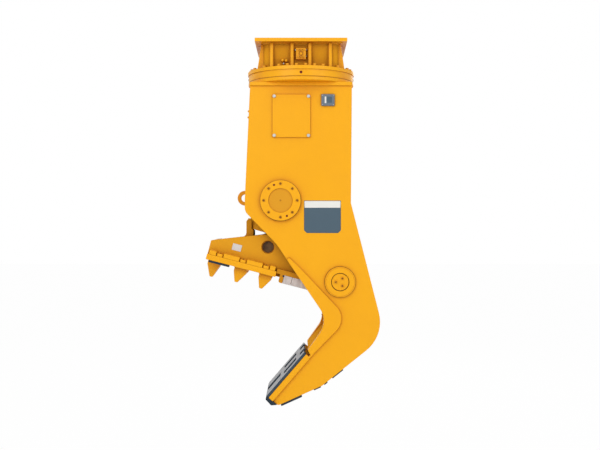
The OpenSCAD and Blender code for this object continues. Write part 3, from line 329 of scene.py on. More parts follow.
def paint(name, colour, faded, gloss=0.42, relief=0.00012, dust=0.07, fade=0.4, painted_shade=None, shine=0.2):
    """Paint between two tones, with painted shade in its crevices when painted_shade is given, and its
    reflection and clear coat set by shine.
    """
    return finish_material(
        name, "paint_coat", {"Colour": colour, "Faded": faded, "Fade": fade, "Gloss": gloss, "Peel": 1.0},
        relief, dust, painted_shade, Specular_IOR_Level=shine, Coat_Weight=shine / 4, Coat_Roughness=0.25,
    )


def steel(name, colour, line, stretch, pitch, gloss, stain=0.3, relief=0.00005, metallic=1.0):
    """Bare metal with fine lines."""
    return finish_material(
        name, "worked_steel",
        {"Colour": colour, "Line": line, "Stretch": stretch, "Pitch": pitch, "Gloss": gloss, "Stain": stain},
        relief, None, Metallic=metallic,
    )


MATERIALS = {
    "yellow_paint": paint("yellow_paint", rgb(250, 176, 14), rgb(244, 169, 18), painted_shade=OPEN_PAINTED_SHADE_TONES),
    "weld_paint": paint("weld_paint", rgb(246, 170, 14), rgb(238, 160, 18), gloss=0.46, painted_shade=OPEN_PAINTED_SHADE_TONES),
    # Painted shade: darker, dull copies of the yellow paint that stand in for the shade on the sheltered
    # inside, in recesses, on the blade seats and on the moving jaw
    "sheltered_painted_shade": paint(
        "sheltered_painted_shade", rgb(238, 166, 34), rgb(232, 160, 36), gloss=0.6, painted_shade=SHELTERED_PAINTED_SHADE_TONES, shine=0.0
    ),
    "recess_painted_shade": paint("recess_painted_shade", rgb(226, 157, 26), rgb(220, 150, 26), fade=0.3, painted_shade=OPEN_PAINTED_SHADE_TONES),
    "seat_painted_shade": paint(
        "seat_painted_shade", rgb(206, 140, 34), rgb(198, 132, 34), gloss=0.6, painted_shade=JAW_PAINTED_SHADE_TONES, shine=0.0
    ),
    "jaw_painted_shade": paint(
        "jaw_painted_shade", rgb(234, 165, 40), rgb(228, 159, 40), gloss=0.6, painted_shade=JAW_PAINTED_SHADE_TONES, shine=0.0
    ),
    "fitting_paint": paint("fitting_paint", rgb(247, 173, 16), rgb(240, 166, 18)),
    "seal_lip": paint("seal_lip", rgb(196, 128, 20), rgb(176, 112, 18), gloss=0.5, fade=0.6),
    # Painted shade: dark browns for the shaded joints round caps, boss and pin, and for the shaded floors of
    # screw sockets
    "joint_painted_shade": paint("joint_painted_shade", rgb(92, 52, 12), rgb(78, 44, 12), gloss=0.6, dust=0.0),
    "socket_painted_shade": paint("socket_painted_shade", rgb(132, 82, 18), rgb(116, 70, 16), gloss=0.6, dust=0.0),
    "slate_paint": paint("slate_paint", rgb(79, 98, 111), rgb(73, 92, 105), gloss=0.4),
    "pale_paint": paint("pale_paint", rgb(220, 214, 208), rgb(210, 204, 198), gloss=0.45),
    "strip_white": paint("strip_white", rgb(236, 235, 229), rgb(228, 227, 221), gloss=0.45),
    "plate_grey": paint("plate_grey", rgb(110, 121, 132), rgb(102, 113, 124), gloss=0.4),
    "plug_red": paint("plug_red", rgb(112, 22, 14), rgb(90, 18, 12), gloss=0.5),
    "hard_facing": finish_material(
        "hard_facing", "mill_scale",
        {"Colour": rgb(30, 43, 54), "Pale": rgb(44, 58, 70), "Grain": 90.0, "Gloss": 0.55, "Worn": 0.6},
        0.0006, 0.12, Specular_IOR_Level=0.25,
    ),
    "wear_steel": finish_material(
        "wear_steel", "mill_scale",
        {"Colour": rgb(140, 143, 147), "Pale": rgb(166, 169, 172), "Grain": 60.0, "Gloss": 0.45, "Worn": 0.8},
        0.0004, 0.1, facing=(MOUTH_SIDE, rgb(36, 51, 64), rgb(52, 68, 82)),
        Metallic=0.15, Specular_IOR_Level=0.5,
    ),
    "bright_steel": steel(
        "bright_steel", BLADE, BLADE_LINE, BLADE_STRETCH, BLADE_PITCH, 0.38, 0.35, 0.00008, 0.55
    ),
    # Bare steel on the faces turned to the mouth; the other faces take the blades' paint, darkened to a
    # painted shade of the throat
    "blade_two_tone": finish_material(
        "blade_two_tone", "worked_steel",
        {"Colour": BLADE, "Line": BLADE_LINE, "Stretch": BLADE_STRETCH, "Pitch": BLADE_PITCH, "Gloss": 0.4,
         "Stain": 0.35},
        0.00008, facing=(MOUTH_SIDE, rgb(206, 132, 20), rgb(190, 118, 18)), Metallic=0.2,
    ),
    "bolt_steel": steel(
        "bolt_steel", rgb(204, 209, 206), rgb(150, 155, 154), (1.0, 1.0, 1.0), 160.0, 0.34, 0.4, metallic=0.8
    ),
    # Painted shade: a dark brown steel for the rod's pin and eye, which lie in shade inside the jaw's hole
    "pin_painted_shade": steel(
        "pin_painted_shade", rgb(104, 72, 30), rgb(76, 52, 22), (0.2, 1.0, 0.2), 200.0, 0.4, 0.5, metallic=0.3
    ),
    "machined_steel": steel(
        "machined_steel", rgb(184, 186, 190), rgb(140, 142, 148), (0.2, 1.0, 0.2), 260.0, 0.3
    ),
    "rod_chrome": steel(
        "rod_chrome", rgb(184, 188, 196), rgb(166, 170, 180), (0.1, 0.1, 1.0), 400.0, 0.16, 0.1, 0.00001
    ),
    "bush_bronze": steel(
        "bush_bronze", rgb(196, 150, 84), rgb(150, 108, 56), (0.2, 1.0, 0.2), 260.0, 0.32
    ),
}

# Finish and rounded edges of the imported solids

ROUNDING = {
    "adapter_plate": 0.003, "head_flange": 0.003, "slew_ring_outer": 0.004, "neck_ring": 0.004,
    "side_plate_near": 0.0035, "side_plate_far": 0.0035, "doublers": 0.004, "trunnion_caps": 0.003,
    "pin_bosses": 0.003, "jaw_sides": 0.0035, "sole_plate": 0.004, "teeth": 0.004, "jaw_rails": 0.004,
    "lower_wear_plate": 0.003, "nose_bar": 0.004, "lifting_eye": 0.005, "moving_blades": 0.002,
    "fixed_blades": 0.002, "wear_bars": 0.002, "access_covers": 0.002, "jaw_hub": 0.004,
}
OTHER_ROUNDING = 0.0025
# Balls and screws stay as they are packed
PLAIN = {"slew_balls", "slew_bolts", "cap_screws", "pin_screws", "gland_screws"}
# Solids whose paint or metal differs from that of their slot; several take a darker paint that is painted
# shade
SPECIAL = {
    "sheltered_painted_shade": ("head_box", "union_body", "cylinder_tube", "throat_plate", "lower_base_plate",
                        "lower_ribs"),
    "jaw_painted_shade": ("jaw_sides", "jaw_top_plate", "jaw_webs", "rod_guard", "gland_head"),
    "fitting_paint": ("neck_ring", "top_plate"),
    "pin_painted_shade": ("rod_pin", "rod_eye"),
    "blade_two_tone": ("fixed_blades",),
    "seat_painted_shade": ("blade_seats",),
    "bolt_steel": ("cover_bolts",),
}
FINISH = {node: material for material, nodes in SPECIAL.items() for node in nodes}
SLOT_OF = {part["node"]: part["material_slot"] for part in frame["record"]["subparts"]}


def rounded_edges(piece, width):
    """Merges the mesh's seams, clears its flat faces and rounds its edges."""
    piece.modifiers.new("merge", "WELD").merge_threshold = 0.00001
    clear = piece.modifiers.new("clear", "DECIMATE")
    clear.decimate_type = "DISSOLVE"
    clear.angle_limit = math.radians(0.6)
    bevel = piece.modifiers.new("round", "BEVEL")
    bevel.width = width
    bevel.segments = 2
    bevel.limit_method = "ANGLE"
    bevel.angle_limit = math.radians(32)
    smooth_faces(piece)


def smooth_faces(piece):
    """Smooth shading, led by the large faces."""
    for face in piece.data.polygons:
        face.use_smooth = True
    even = piece.modifiers.new("even", "WEIGHTED_NORMAL")
    even.keep_sharp = False
    even.weight = 100


for node_name, node_object in frame["nodes"].items():
    node_object.data.materials.clear()
    node_object.data.materials.append(MATERIALS[FINISH.get(node_name, SLOT_OF[node_name])])
    if node_name not in PLAIN:
        rounded_edges(node_object, ROUNDING.get(node_name, OTHER_ROUNDING))

# Making of pieces


def mesh_piece(name, verts, faces, material, body, smooth=False):
    """A piece from its mesh, riding on a body."""
    mesh = bpy.data.meshes.new(name)
    mesh.from_pydata([tuple(v) for v in verts], [], faces)
    mesh.validate()
    made = bpy.data.objects.new(name, mesh)
    bpy.context.scene.collection.objects.link(made)
    mesh.materials.append(MATERIALS[material])
    if smooth:
        for face in mesh.polygons:
            face.use_smooth = True
    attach(made, body)
    return made


def plate_piece(name, outline, origin, across, up, thickness, material, body, rounding=0.0008):
    """A flat plate from an outline of (a, b) places along two directions, raised along their normal."""
    out = across.cross(up).normalized()
    low = [origin + across * a + up * b for a, b in outline]
    high = [p + out * thickness for p in low]
    count = len(outline)
    faces = [tuple(range(count - 1, -1, -1)), tuple(range(count, 2 * count))]
    faces += [(i, (i + 1) % count, (i + 1) % count + count, i + count) for i in range(count)]
    made = mesh_piece(name, low + high, faces, material, body)
    bevel = made.modifiers.new("round", "BEVEL")
    bevel.width = rounding
    bevel.segments = 2
    bevel.angle_limit = math.radians(40)
    smooth_faces(made)


def box_outline(w, h, corner=0.0):
    """A rectangle centred on zero, with square or rounded corners."""
    if corner == 0:
        return [(sx * w / 2, sy * h / 2) for sx, sy in CORNERS]
    points, steps = [], 4
    for sx, sy, start in ((1, -1, 270), (1, 1, 0), (-1, 1, 90), (-1, -1, 180)):
        for i in range(steps + 1):
            turn = math.radians(start + 90 * i / steps)
            points.append((sx * (w / 2 - corner) + corner * math.cos(turn),
                           sy * (h / 2 - corner) + corner * math.sin(turn)))
    return points


def crosswise(axis):
    """An axis as a unit vector, and two more square to it."""
    axis = axis.normalized()
    side = axis.orthogonal().normalized()
    return axis, side, axis.cross(side)


def lathe(name, rings, origin, axis, material, body, segments=20):
    """A turned piece: rings of (radius, height) along an axis, closed at both ends."""
    axis, side, other = crosswise(axis)
    verts, faces = [], []
    for radius, height in rings:
        for i in range(segments):
            turn = 2 * math.pi * i / segments
            verts.append(origin + axis * height + (side * math.cos(turn) + other * math.sin(turn)) * radius)
    for low in range(0, (len(rings) - 1) * segments, segments):
        high = low + segments
        for i in range(segments):
            j = (i + 1) % segments
            faces.append((low + i, low + j, high + j, high + i))
    faces.append(tuple(range(segments - 1, -1, -1)))
    faces.append(tuple((len(rings) - 1) * segments + i for i in range(segments)))
    smooth_faces(mesh_piece(name, verts, faces, material, body))


def band(here, ahead, count):
    """The faces between two closed rows of vertices that begin at here and at ahead."""
    return [(here + k, ahead + k, ahead + (k + 1) % count, here + (k + 1) % count) for k in range(count)]


def turned_ring(name, profile, centre, axis, material, body, segments=128):
    """A hollow ring: a closed profile of (radius, height) turned round an axis."""
    axis, side, other = crosswise(axis)
    count = len(profile)
    verts, faces = [], []
    for i in range(segments):
        turn = 2 * math.pi * i / segments
        out = side * math.cos(turn) + other * math.sin(turn)
        verts += [centre + out * radius + axis * height for radius, height in profile]
        faces += band(i * count, (i + 1) % segments * count, count)
    smooth_faces(mesh_piece(name, verts, faces, material, body))


def resampled(path, pitch, closed=False):
    """Points at an even pitch along a path."""
    points = [Vector(p) for p in path]
    if closed:
        points.append(points[0])
    lengths = [(b - a).length for a, b in zip(points, points[1:])]
    total = sum(lengths)
    count = max(3, round(total / pitch))
    places, run, k = [], 0.0, 0
    for i in range(count + (0 if closed else 1)):
        target = total * i / count
        while k < len(lengths) - 1 and run + lengths[k] < target:
            run += lengths[k]
            k += 1
        share = 0.0 if lengths[k] == 0 else min(1.0, (target - run) / lengths[k])
        places.append(points[k].lerp(points[k + 1], share))
    return places


def filleted(corners, closed=False, steps=7):
    """The corners of a path, (place, radius) each, with their arcs."""
    path = []
    for i, (place, radius) in enumerate(corners):
        if radius == 0 or (not closed and i in (0, len(corners) - 1)):
            path.append(place)
            continue
        to_last = (corners[i - 1][0] - place).normalized()
        to_next = (corners[(i + 1) % len(corners)][0] - place).normalized()
        half = to_last.angle(to_next) / 2
        centre = place + (to_last + to_next).normalized() * (radius / math.sin(half))
        first = (place + to_last * (radius / math.tan(half)) - centre).normalized()
        last = (place + to_next * (radius / math.tan(half)) - centre).normalized()
        path += [centre + first.slerp(last, k / steps) * radius for k in range(steps + 1)]
    return path


def offset_path(corners, distance):
    """An open path of (place, radius) in X and Z, moved to its right-hand side as seen from -Y."""
    moved = []
    for i, (place, radius) in enumerate(corners):
        last = corners[max(i - 1, 0)][0]
        following = corners[min(i + 1, len(corners) - 1)][0]
        u0 = (place - last).normalized() if i > 0 else (following - place).normalized()
        u1 = (following - place).normalized() if i < len(corners) - 1 else u0
        n0, n1 = Vector((u0.z, 0, -u0.x)), Vector((u1.z, 0, -u1.x))
        new_radius = max(0.0, radius - distance) if radius else 0.0
        moved.append((place + (n0 + n1) * (distance / (1 + n0.dot(n1))), new_radius))
    return moved


def direction(rule, place, along):
    """A wall's direction: a fixed vector, or a rule of the place and of the path's direction there."""
    return (rule(place, along) if callable(rule) else Vector(rule)).normalized()


# How far a bead's root and skin are sunk into the corner, and the points across its skin
ROOT_DEPTH, SKIN_DEPTH, SKIN_POINTS = 0.0008, 0.0003, 5


def weld_mesh(path, wall, up, leg=0.007, closed=False, pitch=0.006, ripple=0.06):
    """A rippled fillet bead along a corner; wall and up lead away from it on its two faces."""
    places = resampled(path, pitch, closed)
    count = len(places)
    verts, faces = [], []
    for i, place in enumerate(places):
        before = places[i - 1] if closed or i > 0 else place
        after = places[(i + 1) % count] if closed or i < count - 1 else place
        along = (after - before).normalized()
        a, b = direction(wall, place, along), direction(up, place, along)
        swell = leg * (1 + ripple * (math.sin(2.3 * i) + 0.5 * math.sin(0.83 * i + 1.3)))
        verts.append(place - (a + b) * ROOT_DEPTH)
        for k in range(SKIN_POINTS):
            turn = math.pi / 2 * k / (SKIN_POINTS - 1)
            bulge = 1 - 0.24 * math.sin(2 * turn)
            skin = (a * math.cos(turn) + b * math.sin(turn)) * swell * bulge
            verts.append(place + skin - (a + b) * SKIN_DEPTH)
    row = SKIN_POINTS + 1
    for i in range(count if closed else count - 1):
        faces += band(i * row, (i + 1) % count * row, row)
    if not closed:
        faces.append(tuple(range(row)))
        faces.append(tuple((count - 1) * row + k for k in reversed(range(row))))
    return verts, faces


def welds(name, beads, body):
    """One painted piece from several beads."""
    verts, faces = [], []
    for bead in beads:
        v, f = weld_mesh(**bead)
        faces += [tuple(i + len(verts) for i in face) for face in f]
        verts += v
    made = mesh_piece(name, verts, faces, "weld_paint", body, smooth=True)
    bm = bmesh.new()
    bm.from_mesh(made.data)
    bmesh.ops.recalc_face_normals(bm, faces=bm.faces)
    bm.to_mesh(made.data)
    bm.free()


def circle(centre, radius, axis, count=96):
    """Points round a circle."""
    _, side, other = crosswise(axis)
    turns = [2 * math.pi * i / count for i in range(count)]
    return [centre + (side * math.cos(turn) + other * math.sin(turn)) * radius for turn in turns]


def away_from(centre, axis):
    """The rule of a wall that leads away from an axis."""
    axis = axis.normalized()
    return lambda place, along: (place - centre) - axis * (place - centre).dot(axis)


def outward_of(middle, up):
    """The rule of a wall that leads sideways from a path, on the side that looks away from a middle."""
    def rule(place, along):
        sideways = along.cross(up)
        return sideways if sideways.dot(place - middle) > 0 else -sideways
    return rule


# Plates on the side of the housing and of the jaw

# Grey instrument plate near the top, with a dark inset, a pale strip and four rivets
DATA_AT, DATA_THICK = Vector((0.1937, -SIDE_OUT, -0.4385)), 0.014
RIVET = [(0.0036, 0), (0.0036, 0.0008), (0.0024, 0.0022), (0.0008, 0.0028)]
plate_piece("data_plate", box_outline(0.0945, 0.083, 0.005), DATA_AT, X, Z, DATA_THICK,
            "plate_grey", "housing", 0.002)
for name, w, h, corner, dx, material, slot in (
    ("data_plate_inset", 0.036, 0.044, 0.002, 0.011, "slate_paint", "hard_facing"),
    ("data_plate_strip", 0.011, 0.046, 0.0015, -0.018, "strip_white", "bright_steel"),
):
    plate_piece(name, box_outline(w, h, corner), DATA_AT + Vector((dx, -DATA_THICK, 0.001)), X, Z, 0.0006,
                material, "housing", 0.0002)
for i, (dx, dz) in enumerate(CORNERS):
    lathe(f"data_rivet_{i}", RIVET, DATA_AT + Vector((dx * 0.0395, -DATA_THICK, dz * 0.0337)), NEAR,
          "bolt_steel", "housing", 14)

# Name panel left bare, on both sides: a slate field with a pale strip on top, on a thin back
PANEL_W, PANEL_H, PANEL_CUT, PANEL_RIM = 0.2580, 0.2265, 0.020, 0.003
STRIP_H, STRIP_GAP = 0.048, 0.002


def panel_outline(w, top, bottom):
    """A plate that is square at the top and has its lower corners cut off."""
    half, cut = w / 2, PANEL_CUT
    return [(-half, top), (-half, bottom + cut), (-half + cut, bottom), (half - cut, bottom),
            (half, bottom + cut), (half, top)]


panel_back = panel_outline(PANEL_W + 2 * PANEL_RIM, PANEL_H / 2 + PANEL_RIM, -PANEL_H / 2 - PANEL_RIM)
panel_field = panel_outline(PANEL_W, PANEL_H / 2 - STRIP_H - STRIP_GAP, -PANEL_H / 2)
panel_strip = [(x, z + PANEL_H / 2 - STRIP_H / 2) for x, z in box_outline(PANEL_W, STRIP_H, 0.004)]
for label, side in SIDES:
    middle = Vector((0.1542, side * SIDE_OUT, -1.2763))
    for name, outline, thickness, material, slot, rounding in (
        ("name_panel_back", panel_back, 0.0012, "slate_paint", "hard_facing", 0.0004),
        ("name_panel_field", panel_field, 0.0025, "slate_paint", "hard_facing", 0.0008),
        ("name_panel_strip", panel_strip, 0.0025, "strip_white", "bright_steel", 0.0008),
    ):
        plate_piece(f"{name}_{label}", outline, middle, X * -side, Z, thickness, material, "housing",
                    rounding)

# Small bare plate on the jaw's side
jaw_across = (moving(1, 0) - moving(0, 0)).normalized() * -1
jaw_up = (moving(0, -1) - moving(0, 0)).normalized()
jaw_down = -jaw_up
plate_piece("jaw_plate", box_outline(0.068, 0.048, 0.002), moving(0.784, -0.051, -CHEEK_OUT), jaw_across,
            jaw_up, 0.002, "pale_paint", "jaw")

# Small fittings

# Zinc plugs at the ends of the port block, and a pair of line ends low on the head
BLOCK_PLUG = [(0.0075, 0), (0.0075, 0.004), (0.0055, 0.0045), (0.0055, 0.008), (0.0040, 0.009)]
LINE_END = [(0.0095, 0), (0.0095, 0.010), (0.0070, 0.011), (0.0070, 0.020), (0.0090, 0.021), (0.0090, 0.031),
            (0.0060, 0.034)]
LINE_PLUG = [(0.0055, 0), (0.0055, 0.008), (0.0035, 0.010)]
for i, (end, z, segments) in enumerate(((-1, -0.0785, 14), (1, -0.0785, 6), (1, -0.1216, 14))):
    for label, side in SIDES:
        lathe(f"block_plug_{label}_{i}", BLOCK_PLUG, Vector((end * 0.035, side * 0.274, z)), X * end,
              "bolt_steel", "head", segments)
for i, (x, z) in enumerate(((-0.1315, -0.1545), (-0.1065, -0.1575))):
    lathe(f"line_end_{i}", LINE_END, Vector((x, -HEAD_WALL, z)), NEAR, "fitting_paint", "head",
          12)
lathe("line_plug", LINE_PLUG, Vector((-0.1255, -HEAD_WALL, -0.1754)), NEAR, "bolt_steel", "head",
      14)

# Two greasing heads in the front edge of each side plate
NIPPLE = [(0.0085, -0.001), (0.0085, 0.003), (0.0060, 0.0035), (0.0068, 0.006), (0.0045, 0.009)]
for label, side in SIDES:
    for i, (x, z) in enumerate(((-0.3739, -0.517), (-0.3760, -0.561))):
        lathe(f"edge_nipple_{label}_{i}", NIPPLE, Vector((x, side * 0.262, z)), -X, "weld_paint", "housing",
              12)

# Collar, plug and flange screws of each port, with dark discs of painted shade in the screws' sockets, and
# the cover in the head's window, in a paint with painted shade
COLLAR = [(0.0110, 0), (0.0165, 0), (0.0165, 0.0025), (0.0155, 0.0035), (0.0120, 0.0035), (0.0110, 0.0025)]
PORT_SCREW = [(0.0080, -0.001), (0.0080, 0.008), (0.0072, 0.009), (0.0042, 0.009), (0.0042, 0.004)]
PORT_SOCKET = [(0.0046, 0.0040), (0.0046, 0.0086), (0.0030, 0.0088)]
PORT_PLUG = [(0.0094, -0.004), (0.0094, 0.0012), (0.0070, 0.0024), (0.0020, 0.0026)]
for label, side in SIDES:
    out = Y * side
    port = Vector((0, side * PORT_FACE, -0.106))
    turned_ring(f"port_collar_{label}", COLLAR, port, out, "seal_lip", "head", 40)
    for i, (dx, dz) in enumerate(CORNERS):
        spot = port + Vector((dx * 0.0119, 0, dz * 0.0254))
        lathe(f"port_screw_{label}_{i}", PORT_SCREW, spot, out, "fitting_paint", "head", 18)
        lathe(f"port_socket_{label}_{i}", PORT_SOCKET, spot, out, "socket_painted_shade", "head", 6)
    lathe(f"port_plug_{label}", PORT_PLUG, port, out, "fitting_paint", "head", 24)
    plate_piece(f"window_cover_{label}", box_outline(0.107, 0.117, 0.002), Vector((0, side * 0.260, -0.104)),
                X * -side, Z, 0.006, "sheltered_painted_shade", "head", 0.001)

# Lip seal between the two rings, and the ledge of the top plate over each side
RING_SEAL = [(0.3790, -0.2768), (0.3862, -0.2768), (0.3872, -0.2780), (0.3858, -0.2795), (0.3872, -0.2810),
             (0.3862, -0.2822), (0.3790, -0.2822)]
turned_ring("ring_seal", RING_SEAL, Vector((0, 0, 0)), Z, "seal_lip", "head")
for label, side in SIDES:
    plate_piece(f"top_ledge_{label}", box_outline(2 * TOP_HALF, 0.0275),
                Vector((0, side * SIDE_OUT, -0.32125)), X * -side, Z, 0.012,
                "fitting_paint", "housing", 0.003)

# Faces of the trunnion caps, in a darker paint that stands for the shade in their recess; dark rings of
# painted shade where the caps, the boss and the main pin meet the plates; dark discs of painted shade in the
# screw sockets of the trunnion caps and of the main pin; and the screw in each blade lug
CAP_FACE = [(0.0866, 0), (0.0866, 0.0008), (0.0856, 0.0014)]
CAP_MARK = [(0.0070, 0), (0.0070, 0.0006), (0.0030, 0.0008)]
LUG_SCREW = [(0.0075, 0), (0.0075, 0.0012), (0.0045, 0.0016)]
for label, side in SIDES:
    out = Y * side
    lathe(f"cap_face_{label}", CAP_FACE, TRUNNION + out * 0.297, out, "recess_painted_shade", "housing",
          72)
    lathe(f"cap_mark_{label}", CAP_MARK, TRUNNION + out * 0.2982, out, "seal_lip", "housing",
          18)
    for name, centre, inner, width, level in (
        ("cap_seal", TRUNNION, 0.1450, 0.0024, SIDE_OUT),
        ("boss_seal", PIN, 0.1095, 0.0024, SIDE_OUT),
        ("pin_seal", PIN, 0.0606, 0.0048, 0.2909),
    ):
        profile = [(inner, 0), (inner + width, 0), (inner + width, 0.0014), (inner, 0.0022)]
        turned_ring(f"{name}_{label}", profile, centre + out * level, out, "joint_painted_shade", "housing",
                    96)
    for name, centre, radius, count, first, size, level, material in (
        ("cap_socket", TRUNNION, CAP_CIRCLE, 8, 0, 0.0082, 0.3028, "socket_painted_shade"),
        ("pin_socket", PIN, PIN_CIRCLE, 3, 60, 0.0060, 0.3060, "socket_painted_shade"),
        ("jack_plug", TRUNNION, CAP_CIRCLE, 2, 112.5, 0.0078, 0.3046, "plug_red"),
    ):
        profile = [(size, 0), (size, 0.0008), (size * 0.8, 0.0012)]
        for i in range(count):
            angle = math.radians(first + 360 * i / count)
            spot = centre + out * level + Vector((math.cos(angle), 0, math.sin(angle))) * radius
            lathe(f"{name}_{label}_{i}", profile, spot, out, material, "housing", 12)
    lathe(f"lug_screw_{label}", LUG_SCREW, Vector((-0.1269, side * 0.2350, -1.7047)), out, "hard_facing",
          "jaw", 16)

# Wide heads that lie in the pockets of the sole's rails
for i, u in enumerate((0.542, 0.7145, 0.887)):
    for label, side in SIDES:
        plate_piece(f"pocket_head_{label}_{i}", box_outline(0.053, 0.042, 0.018),
                    moving(u, 0.0432, side * 0.2235), jaw_across, Y, 0.0210,
                    "yellow_paint", "jaw", 0.003)

# Bent guard that stands on the jaw in front of the cylinder's head
GUARD_FOOT, GUARD_TOP, GUARD_HALF = -1.426, -1.308, 0.1205
guard_flank = [(-0.4005, GUARD_FOOT), (-0.348, GUARD_FOOT), (-0.348, -1.376), (-0.361, -1.364),
               (-0.363, -1.290), (-0.384, -1.284), (-0.4005, GUARD_TOP)]
guard_front = [(-GUARD_HALF, GUARD_FOOT), (GUARD_HALF, GUARD_FOOT), (GUARD_HALF, GUARD_TOP),
               (-GUARD_HALF, GUARD_TOP)]
for label, y in (("near", -0.1200), ("far", 0.1300)):
    plate_piece(f"guard_flank_{label}", guard_flank, Vector((0, y, 0)), X, Z, 0.010,
                "jaw_painted_shade", "jaw", 0.002)
plate_piece("guard_front", guard_front, Vector((-0.3965, 0, 0)), -Y, Z, 0.004,
            "jaw_painted_shade", "jaw", 0.002)

# Sling tab on top of the jaw's tip
tab = [(-0.0215, 0), (-0.0195, 0.0060), (0.0190, 0.0065), (0.0215, 0)]
tab_across = (moving(0.9, -0.0849) - moving(0.979, -0.055)).normalized()
plate_piece("jaw_tab", tab, moving(0.9395, -0.0690, 0.014), tab_across, jaw_up, 0.028,
            "pale_paint", "jaw", 0.0015)

# Weld beads

# Length of the mouth, in which the outline of the fixed jaw is measured
REACH = 0.963


def at_pin(a, b, y):
    """A place given as shares of the mouth's length from the main pin."""
    return PIN + Vector((a * REACH, y, b * REACH))


def side_line(*corners):
    """A path of (place, radius) on the middle plane, from corners of (x, z, radius)."""
    return [(Vector((x, 0, z)), radius) for x, z, radius in corners]


front_edge = side_line((-TOP_HALF, WALL_TOP, 0), (-0.404, -1.158, 0), (-0.404, -1.2144, 0))
rear_edge = side_line((TOP_HALF, WALL_TOP, 0), (0.3591, -1.1776, 0), (0.602, -2.1305, 0.263),
                      (0.2927, -2.3853, 0))
SHELL_INSET = 0.020
housing_beads = []
for _, side in SIDES:
    face = Y * side
    y = side * SIDE_OUT
    # Front plate and rear shell inside the side plates
    for edge, inset, out in (
        (front_edge, -SHELL_INSET, lambda p, t: Y.cross(t)),
        (rear_edge, SHELL_INSET, lambda p, t: t.cross(Y)),
    ):
        seam = [p + face * SIDE_IN for p in filleted(offset_path(edge, inset))]
        housing_beads.append(dict(path=seam, wall=-face, up=out, leg=0.011))
    # Edge of the doubler on the flank of the fixed jaw
    flank = [
        (at_pin(-0.379, 0.181, y), 0.0087), (at_pin(-0.299, 0.105, y), 0.0),
        (at_pin(0.058, -0.273, y), 0.1233), (fixed(0.5027, -0.1927, y), 0.0), (fixed(0.950, -0.1927, y), 0.0),
    ]
    housing_beads.append(dict(path=filleted(flank), wall=lambda p, t, f=face, k=side: t.cross(f) * k, up=face,
                              leg=0.006, pitch=0.012, ripple=0.01))
    # Underside of the ring on the neck, along the side and across the end
    along_side = [Vector((x, y, NECK_UNDER)) for x in (-0.266, 0.266)]
    across_end = [Vector((side * TOP_HALF, b, NECK_UNDER)) for b in (-0.130, 0.130)]
    housing_beads.append(dict(path=along_side, wall=face, up=BELOW, leg=0.010))
    housing_beads.append(dict(path=across_end, wall=X * side, up=BELOW, leg=0.010))
    # Foot of the lifting eye
    eye = [Vector((x, side * 0.015, z)) for x, z in ((-0.3804, -1.082), (-0.384, -1.158), (-0.384, -1.188))]
    housing_beads.append(dict(path=eye, wall=face, up=-X, leg=0.011))
welds("housing_welds", housing_beads, "housing")

# The head's box on its flange and under the adapter plate, and the feet of its ribs
head_beads = []
for z, up in ((-0.205, ABOVE), (-0.025, BELOW)):
    ring = [(Vector((sx * HEAD_WALL, sy * HEAD_WALL, z)), 0.058)
            for sx, sy in ((1, -1), (1, 1), (-1, 1), (-1, -1))]
    head_beads.append(dict(path=filleted(ring, closed=True), wall=lambda p, t: t.cross(Z), up=up, leg=0.008,
                           closed=True))
for out, along in ((-Y, X), (X, Y), (Y, -X), (-X, -Y)):
    for across in (-0.210, -0.064, 0.064, 0.210):
        for k in (-1, 1):
            foot = out * HEAD_WALL + along * (across + k * 0.010)
            head_beads.append(dict(path=[foot + Z * -0.203, foot + Z * -0.027], wall=along * k, up=out,
                                   leg=0.005, pitch=0.007))
welds("head_welds", head_beads, "head")

jaw_beads = []
TOOTH_ROW, TOOTH_CORNER = 0.130, 0.004
for _, side in SIDES:
    face = Y * side
    # Cheek on the sole, between the pockets
    for stretch in ((0.474, 0.514), (0.570, 0.6865), (0.7425, 0.859), (0.915, 0.965)):
        seam = [moving(u, 0.013, side * CHEEK_OUT) for u in stretch]
        jaw_beads.append(dict(path=seam, wall=face, up=jaw_up))
    # Hub in the cheek
    hub = PIN + face * CHEEK_OUT
    jaw_beads.append(dict(path=circle(hub, 0.125, Y), wall=away_from(hub, Y), up=face, leg=0.010,
                          closed=True))
    # Roots of the side teeth
    for u in (0.731, 0.545):
        corners = [(u - 0.0592, -0.048), (u + 0.0348, -0.048), (u + 0.0348, 0.048), (u - 0.0592, 0.048)]
        root = [(moving(a, SOLE_UNDER, side * TOOTH_ROW + b), TOOTH_CORNER) for a, b in corners]
        middle = moving(u - 0.012, SOLE_UNDER, side * TOOTH_ROW)
        jaw_beads.append(dict(path=filleted(root, closed=True, steps=3), wall=outward_of(middle, jaw_down),
                              up=jaw_down, leg=0.010, closed=True))
# Root of the front tooth
corners = [(0.972, -0.055), (0.881, -0.055), (0.881, 0.055), (0.972, 0.055)]
root = [(moving(a, SOLE_UNDER, b), TOOTH_CORNER) for a, b in corners]
jaw_beads.append(dict(path=filleted(root, steps=3), wall=outward_of(moving(0.928, SOLE_UNDER), jaw_down),
                      up=jaw_down, leg=0.010))
# Plate over the cylinder's eye, across its front and down its two edges
over_eye = (moving(0.706, -0.1585) - moving(0.979, -0.055)).normalized()
over_eye_up = over_eye.cross(Y)
front_seam = [moving(0.750, -0.1418, y) for y in (-0.100, 0.100)]
jaw_beads.append(dict(path=front_seam, wall=-over_eye, up=over_eye_up, leg=0.009))
for _, side in SIDES:
    seam = [moving(u, n, side * 0.100) for u, n in ((0.708, -0.1577), (0.748, -0.1426))]
    jaw_beads.append(dict(path=seam, wall=Y * side, up=over_eye_up, leg=0.008))
welds("jaw_welds", jaw_beads, "jaw")

# Light, floor and camera

FLOOR_DROP, FLOOR_HALF = 0.62, 40
FLOOR_GLOW, SKY_LIGHT = 0.975, 0.60


